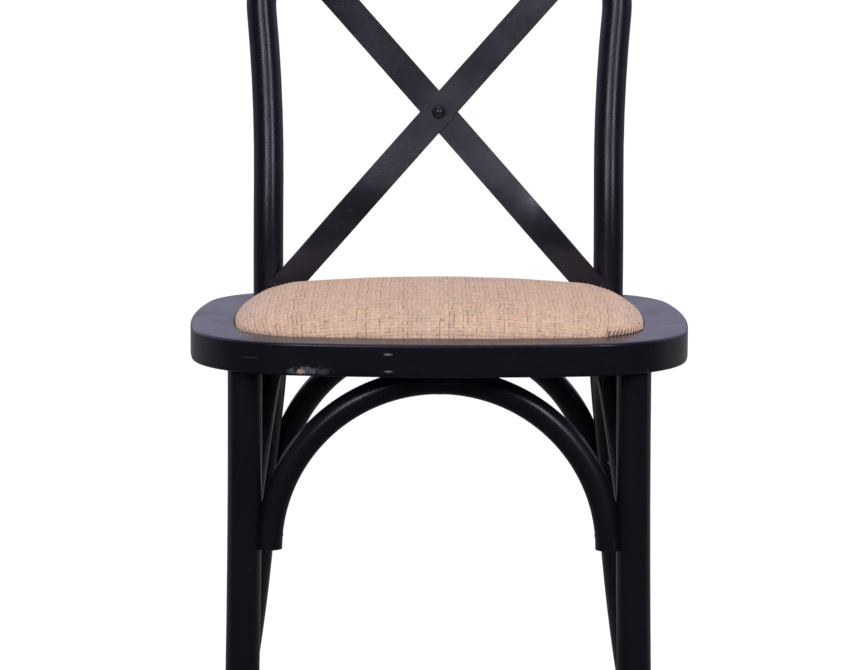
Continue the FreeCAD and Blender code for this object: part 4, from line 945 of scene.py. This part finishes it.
cane = {
    "light": (0.718, 0.500, 0.388, 1.0),
    "pink": (0.582, 0.378, 0.292, 1.0),
    "straw": (0.690, 0.425, 0.262, 1.0),
    "grey": (0.515, 0.382, 0.312, 1.0),
    "fibre": (0.468, 0.287, 0.214, 1.0),
    "brown": (0.324, 0.157, 0.077, 1.0),
    # painted shade under the loose strand ends
    "paintedShade": (0.11, 0.06, 0.042, 1.0),
    # painted shade in the joints between strands
    "gap": (0.190, 0.088, 0.052, 1.0),
}


def caneMaterial():
    material, tree, shader, _ = newMaterial("wovenRattan")
    sheetPlace = put(tree, "ShaderNodeUVMap", None, uv_map="flatSheet").outputs["UV"]
    weave = place(tree, caneWeave, {"Vector": sheetPlace, "Pitch": seat["pitch"]})
    broad = grainNoise(tree, sheetPlace, 9.0, 4.0, 0.6)
    colour = mixColours(tree, weave["Strand Tone"], cane["light"], cane["pink"])
    for mask, low, high, share, tint in (
        (weave["Cell Tone"], 0.35, 0.75, 0.55, "straw"),
        (weave["Cell Tone"], 0.3, 0.0, 0.5, "grey"),
        (weave["Run Tone"], 0.55, 1.0, 0.65, "grey"),
        (weave["Run Tone"], 0.35, 0.0, 0.5, "light"),
        (weave["Fibre"], 0.48, 0.7, 0.45, "fibre"),
        (broad, 0.5, 0.75, 0.35, "straw"),
    ):
        colour = mixColours(tree, remap(tree, mask, low, high, 0.0, share), colour, cane[tint])
    for mask, tint in (
        (product(tree, weave["Brown Spot"], 0.6), "brown"),
        # painted shade in the joints between strands
        (product(tree, weave["Joint Shade"], 0.95), "gap"),
        # painted shade under the loose strand ends
        (paintedShadeUnderEnds(tree, sheetPlace), "paintedShade"),
    ):
        colour = mixColours(tree, mask, colour, cane[tint])
    roughness = remap(tree, weave["Fibre"], 0.2, 0.8, 0.42, 0.6)
    normal = bump(tree, weave["Height"], 0.45, 0.0007)
    normal = bump(tree, weave["Fibre"], 0.25, 0.0003, normal)
    shade(tree, shader, colour, roughness, normal)
    shader.inputs["Specular IOR Level"].default_value = 0.45
    return material


wovenRattan = caneMaterial()


def sheetPoints(shape, step):
    # the flat places of a mesh's points, exactly on the grid
    flat = np.array([vert.co[:2] for vert in shape.verts])
    return np.round(flat / step) * step


def rattanSeat():
    step = seat["pitch"] / seat["samples"]
    reachX = math.ceil((coverHigh.x + flatExtra) / step) + 2
    lowY = math.floor((coverLow.y - flatExtra) / step) - 2
    highY = math.ceil((coverHigh.y + flatExtra) / step) + 2
    shape = bmesh.new()
    bmesh.ops.create_grid(shape, x_segments=2 * reachX, y_segments=highY - lowY, size=0.5)
    size = (2 * reachX * step, (highY - lowY) * step, 1.0)
    bmesh.ops.scale(shape, vec=size, verts=shape.verts)
    bmesh.ops.translate(shape, vec=(0.0, (highY + lowY) / 2 * step, 0.0), verts=shape.verts)
    outside = edgeDistance(sheetPoints(shape, step))[0] + flatExtra < -step * 0.75
    beyond = [vert for vert, gone in zip(shape.verts, outside) if gone]
    bmesh.ops.delete(shape, geom=beyond, context="VERTS")
    flat = sheetPoints(shape, step)
    lift = weaveRelief(flat) * seat["relief"] - seat["sunk"]
    inset = edgeDistance(flat)[0] + flatExtra
    spots = ontoPad(flat, lift * np.clip(inset / seat["rimBlend"], 0.0, 1.0))
    flatLayer = shape.loops.layers.uv.new("flatSheet")
    for index, vert in enumerate(shape.verts):
        vert.co = spots[index]
        vert.index = index
    for face in shape.faces:
        face.smooth = True
        for loop in face.loops:
            loop[flatLayer].uv = flat[loop.vert.index]
    # a wall down to the foot, and a bottom, close the piece
    rim = [edge for edge in shape.edges if edge.is_boundary]
    wall = bmesh.ops.extrude_edge_only(shape, edges=rim)["geom"]
    for item in wall:
        if isinstance(item, bmesh.types.BMVert):
            item.co.z = seat["foot"] - seat["sunk"]
    bottom = [item for item in wall if isinstance(item, bmesh.types.BMEdge)]
    bmesh.ops.holes_fill(shape, edges=bottom, sides=0)
    bmesh.ops.recalc_face_normals(shape, faces=shape.faces)
    piece = finishPiece(
        "rattanSeat", shape, wovenRattan, "woven_rattan", "rattan_cover", "pad_core",
    )


rattanSeat()
print("woven seat made")


# loose strand ends at the right front corner of the seat

def looseStrands():
    random.seed(strandEnds["seed"])
    shape = bmesh.new()
    flatLayer = shape.loops.layers.uv.new("flatSheet")
    sweep = strandEnds["to"] - strandEnds["from"]
    for index in range(strandEnds["count"]):
        turn = strandEnds["from"] + sweep * (index + 0.5) / strandEnds["count"]
        outward = Vector((math.cos(turn), math.sin(turn)))
        start = endsCentre + outward * (endsRadius + flatExtra * strandEnds["wrap"])
        heading = (outward.orthogonal() * strandEnds["lean"] - outward).normalized()
        across = heading.orthogonal()
        length = strandEnds["length"] * random.uniform(*strandEnds["uneven"])
        strip = bmesh.ops.create_grid(shape, x_segments=2, y_segments=8, size=0.5)["verts"]
        flat = []
        for vert in strip:
            narrower = 1 - strandEnds["narrowing"] * abs(vert.co.y)
            spread = vert.co.x * strandEnds["width"] * narrower
            flat.append(start + heading * (vert.co.y + 0.5) * length + across * spread)
        flat = np.array(flat)
        # round across, and both ends dip into the pad
        hump = np.array([1 - (vert.co.x * 2) ** 2 for vert in strip])
        sink = np.array([max(0.0, abs(vert.co.y) - 0.38) * 8 for vert in strip])
        spots = ontoPad(flat, strandEnds["thick"] * (1.1 + 0.7 * hump - 1.5 * sink))
        # each strand reads another part of the woven pattern
        shifted = {}
        for vert, spot, point in zip(strip, spots, flat):
            vert.co = spot
            shifted[vert] = (point[0] + 1.0 + index * strandEnds["shift"], point[1])
        for face in {face for vert in strip for face in vert.link_faces}:
            face.smooth = True
            for loop in face.loops:
                loop[flatLayer].uv = shifted[loop.vert]
    bmesh.ops.recalc_face_normals(shape, faces=shape.faces)
    bmesh.ops.solidify(shape, geom=shape.faces, thickness=strandEnds["thick"] * 0.8)
    finishPiece("looseStrands", shape, wovenRattan, "woven_rattan")


looseStrands()
print("loose strands made")


# camera, lights, floor and background

view = {
    "place": (-0.01947, -3.8995, 0.9856), "lens": 161.67,
    "pitch": 0.1402, "yaw": 0.0027, "roll": 0.0041,  # radians; pitch looks down
}


def makeCamera():
    data = bpy.data.cameras.new("photoCamera")
    camera = bpy.data.objects.new("photoCamera", data)
    scene.collection.objects.link(camera)
    data.sensor_width = 36.0
    data.sensor_fit = "HORIZONTAL"
    data.lens = view["lens"]
    data.clip_start = 0.05
    data.clip_end = 60.0
    pitch, yaw, roll = view["pitch"], view["yaw"], view["roll"]
    flat = math.cos(pitch)
    forward = Vector((math.sin(yaw) * flat, math.cos(yaw) * flat, -math.sin(pitch)))
    level = Vector((math.cos(yaw), -math.sin(yaw), 0.0))
    above = level.cross(forward)
    right = level * math.cos(roll) + above * math.sin(roll)
    up = above * math.cos(roll) - level * math.sin(roll)
    turn = Matrix((right, up, -forward)).transposed().to_4x4()
    camera.matrix_world = Matrix.Translation(view["place"]) @ turn
    scene.camera = camera


# (name, place, aim, size, watts)
softLights = [
    ("softboxLeft", (-0.92, -2.62, 1.92), (0, 0, 0.62), (0.64, 1.25), 20.0),
    ("softboxRight", (1.62, -2.25, 1.92), (0, 0, 0.62), (0.60, 1.25), 19.0),
    ("lowStrip", (0.0, -2.73, 1.78), (0, 0.17, 0.6), (0.66, 0.22), 3.6),
    ("ceilingLight", (0.0, 0.2, 2.9), (0, 0, 0), (2.2, 2.2), 9.0),
]


def makeLights():
    for name, spot, aim, size, watts in softLights:
        data = bpy.data.lights.new(name, "AREA")
        data.shape = "RECTANGLE"
        data.size, data.size_y = size
        data.energy = watts
        lamp = bpy.data.objects.new(name, data)
        scene.collection.objects.link(lamp)
        lamp.location = spot
        direction = Vector(aim) - Vector(spot)
        lamp.rotation_euler = direction.to_track_quat("-Z", "Y").to_euler()
        lamp.visible_camera = False


studio = {
    "fill": 0.74,  # light from all round
    "front": 0.035, "back": 0.18, "high": 0.50,  # walls as the lacquer mirrors them
    "wallTint": (0.92, 0.92, 1.22, 1.0),
    "floorWhite": 0.86, "floorPale": 0.24,  # the floor as the camera sees it
    "floorNear": 0.04, "floorFar": 0.30, "floorRadius": 14.0,
}


def makeWorld():
    world = bpy.data.worlds.new("studio")
    scene.world = world
    world.use_nodes = True
    tree = world.node_tree
    tree.nodes.clear()
    out = tree.nodes.new("ShaderNodeOutputWorld")
    direction = tree.nodes.new("ShaderNodeTexCoord").outputs["Generated"]
    parts = split(tree, direction)
    rays = tree.nodes.new("ShaderNodeLightPath").outputs
    glossy = rays["Is Glossy Ray"]
    behind = remap(tree, parts["Y"], -0.35, 0.35)
    high = remap(tree, parts["Z"], -0.05, 0.3)
    wall = maths(tree, "MULTIPLY_ADD", high, studio["high"], studio["back"])
    mirrored = maths(tree, "MULTIPLY_ADD", behind, wall, studio["front"])
    seen = maths(tree, "MAXIMUM", rays["Is Camera Ray"], rays["Is Transmission Ray"])
    change = maths(tree, "SUBTRACT", mirrored, studio["fill"])
    strength = maths(tree, "MULTIPLY_ADD", glossy, change, studio["fill"])
    # the camera sees plain white
    strength = maths(tree, "MULTIPLY_ADD", seen, maths(tree, "SUBTRACT", 1.0, strength), strength)
    tint = mixColours(tree, glossy, (1, 1, 1, 1), studio["wallTint"])
    tint = mixColours(tree, seen, tint, (1, 1, 1, 1))
    back = put(tree, "ShaderNodeBackground", {"Color": tint, "Strength": strength})
    tree.links.new(back.outputs[0], out.inputs["Surface"])


def makeFloor():
    shape = bmesh.new()
    bmesh.ops.create_circle(shape, cap_ends=True, radius=studio["floorRadius"], segments=64)
    mesh = meshFrom("floor", shape)
    floor = bpy.data.objects.new("floor", mesh)
    scene.collection.objects.link(floor)
    material = bpy.data.materials.new("paleFloor")
    material.use_nodes = True
    tree = material.node_tree
    tree.nodes.clear()
    out = tree.nodes.new("ShaderNodeOutputMaterial")
    point = tree.nodes.new("ShaderNodeTexCoord").outputs["Object"]
    seen = tree.nodes.new("ShaderNodeLightPath").outputs["Is Camera Ray"]
    depth = split(tree, point)["Y"]
    # what the chair mirrors is darker in front of it than behind it
    albedo = remap(tree, depth, -0.6, 0.9, studio["floorNear"], studio["floorFar"])
    albedo = mixColours(tree, seen, albedo, (studio["floorPale"],) * 3 + (1.0,))
    diffuse = put(tree, "ShaderNodeBsdfDiffuse", {"Color": albedo}).outputs[0]
    strength = product(tree, seen, studio["floorWhite"])
    glow = put(tree, "ShaderNodeEmission", {"Strength": strength}).outputs[0]
    both = put(tree, "ShaderNodeAddShader")
    tree.links.new(diffuse, both.inputs[0])
    tree.links.new(glow, both.inputs[1])
    tree.links.new(both.outputs[0], out.inputs["Surface"])
    mesh.materials.append(material)


makeCamera()
makeLights()
makeWorld()
makeFloor()
print("camera, lights and floor set")
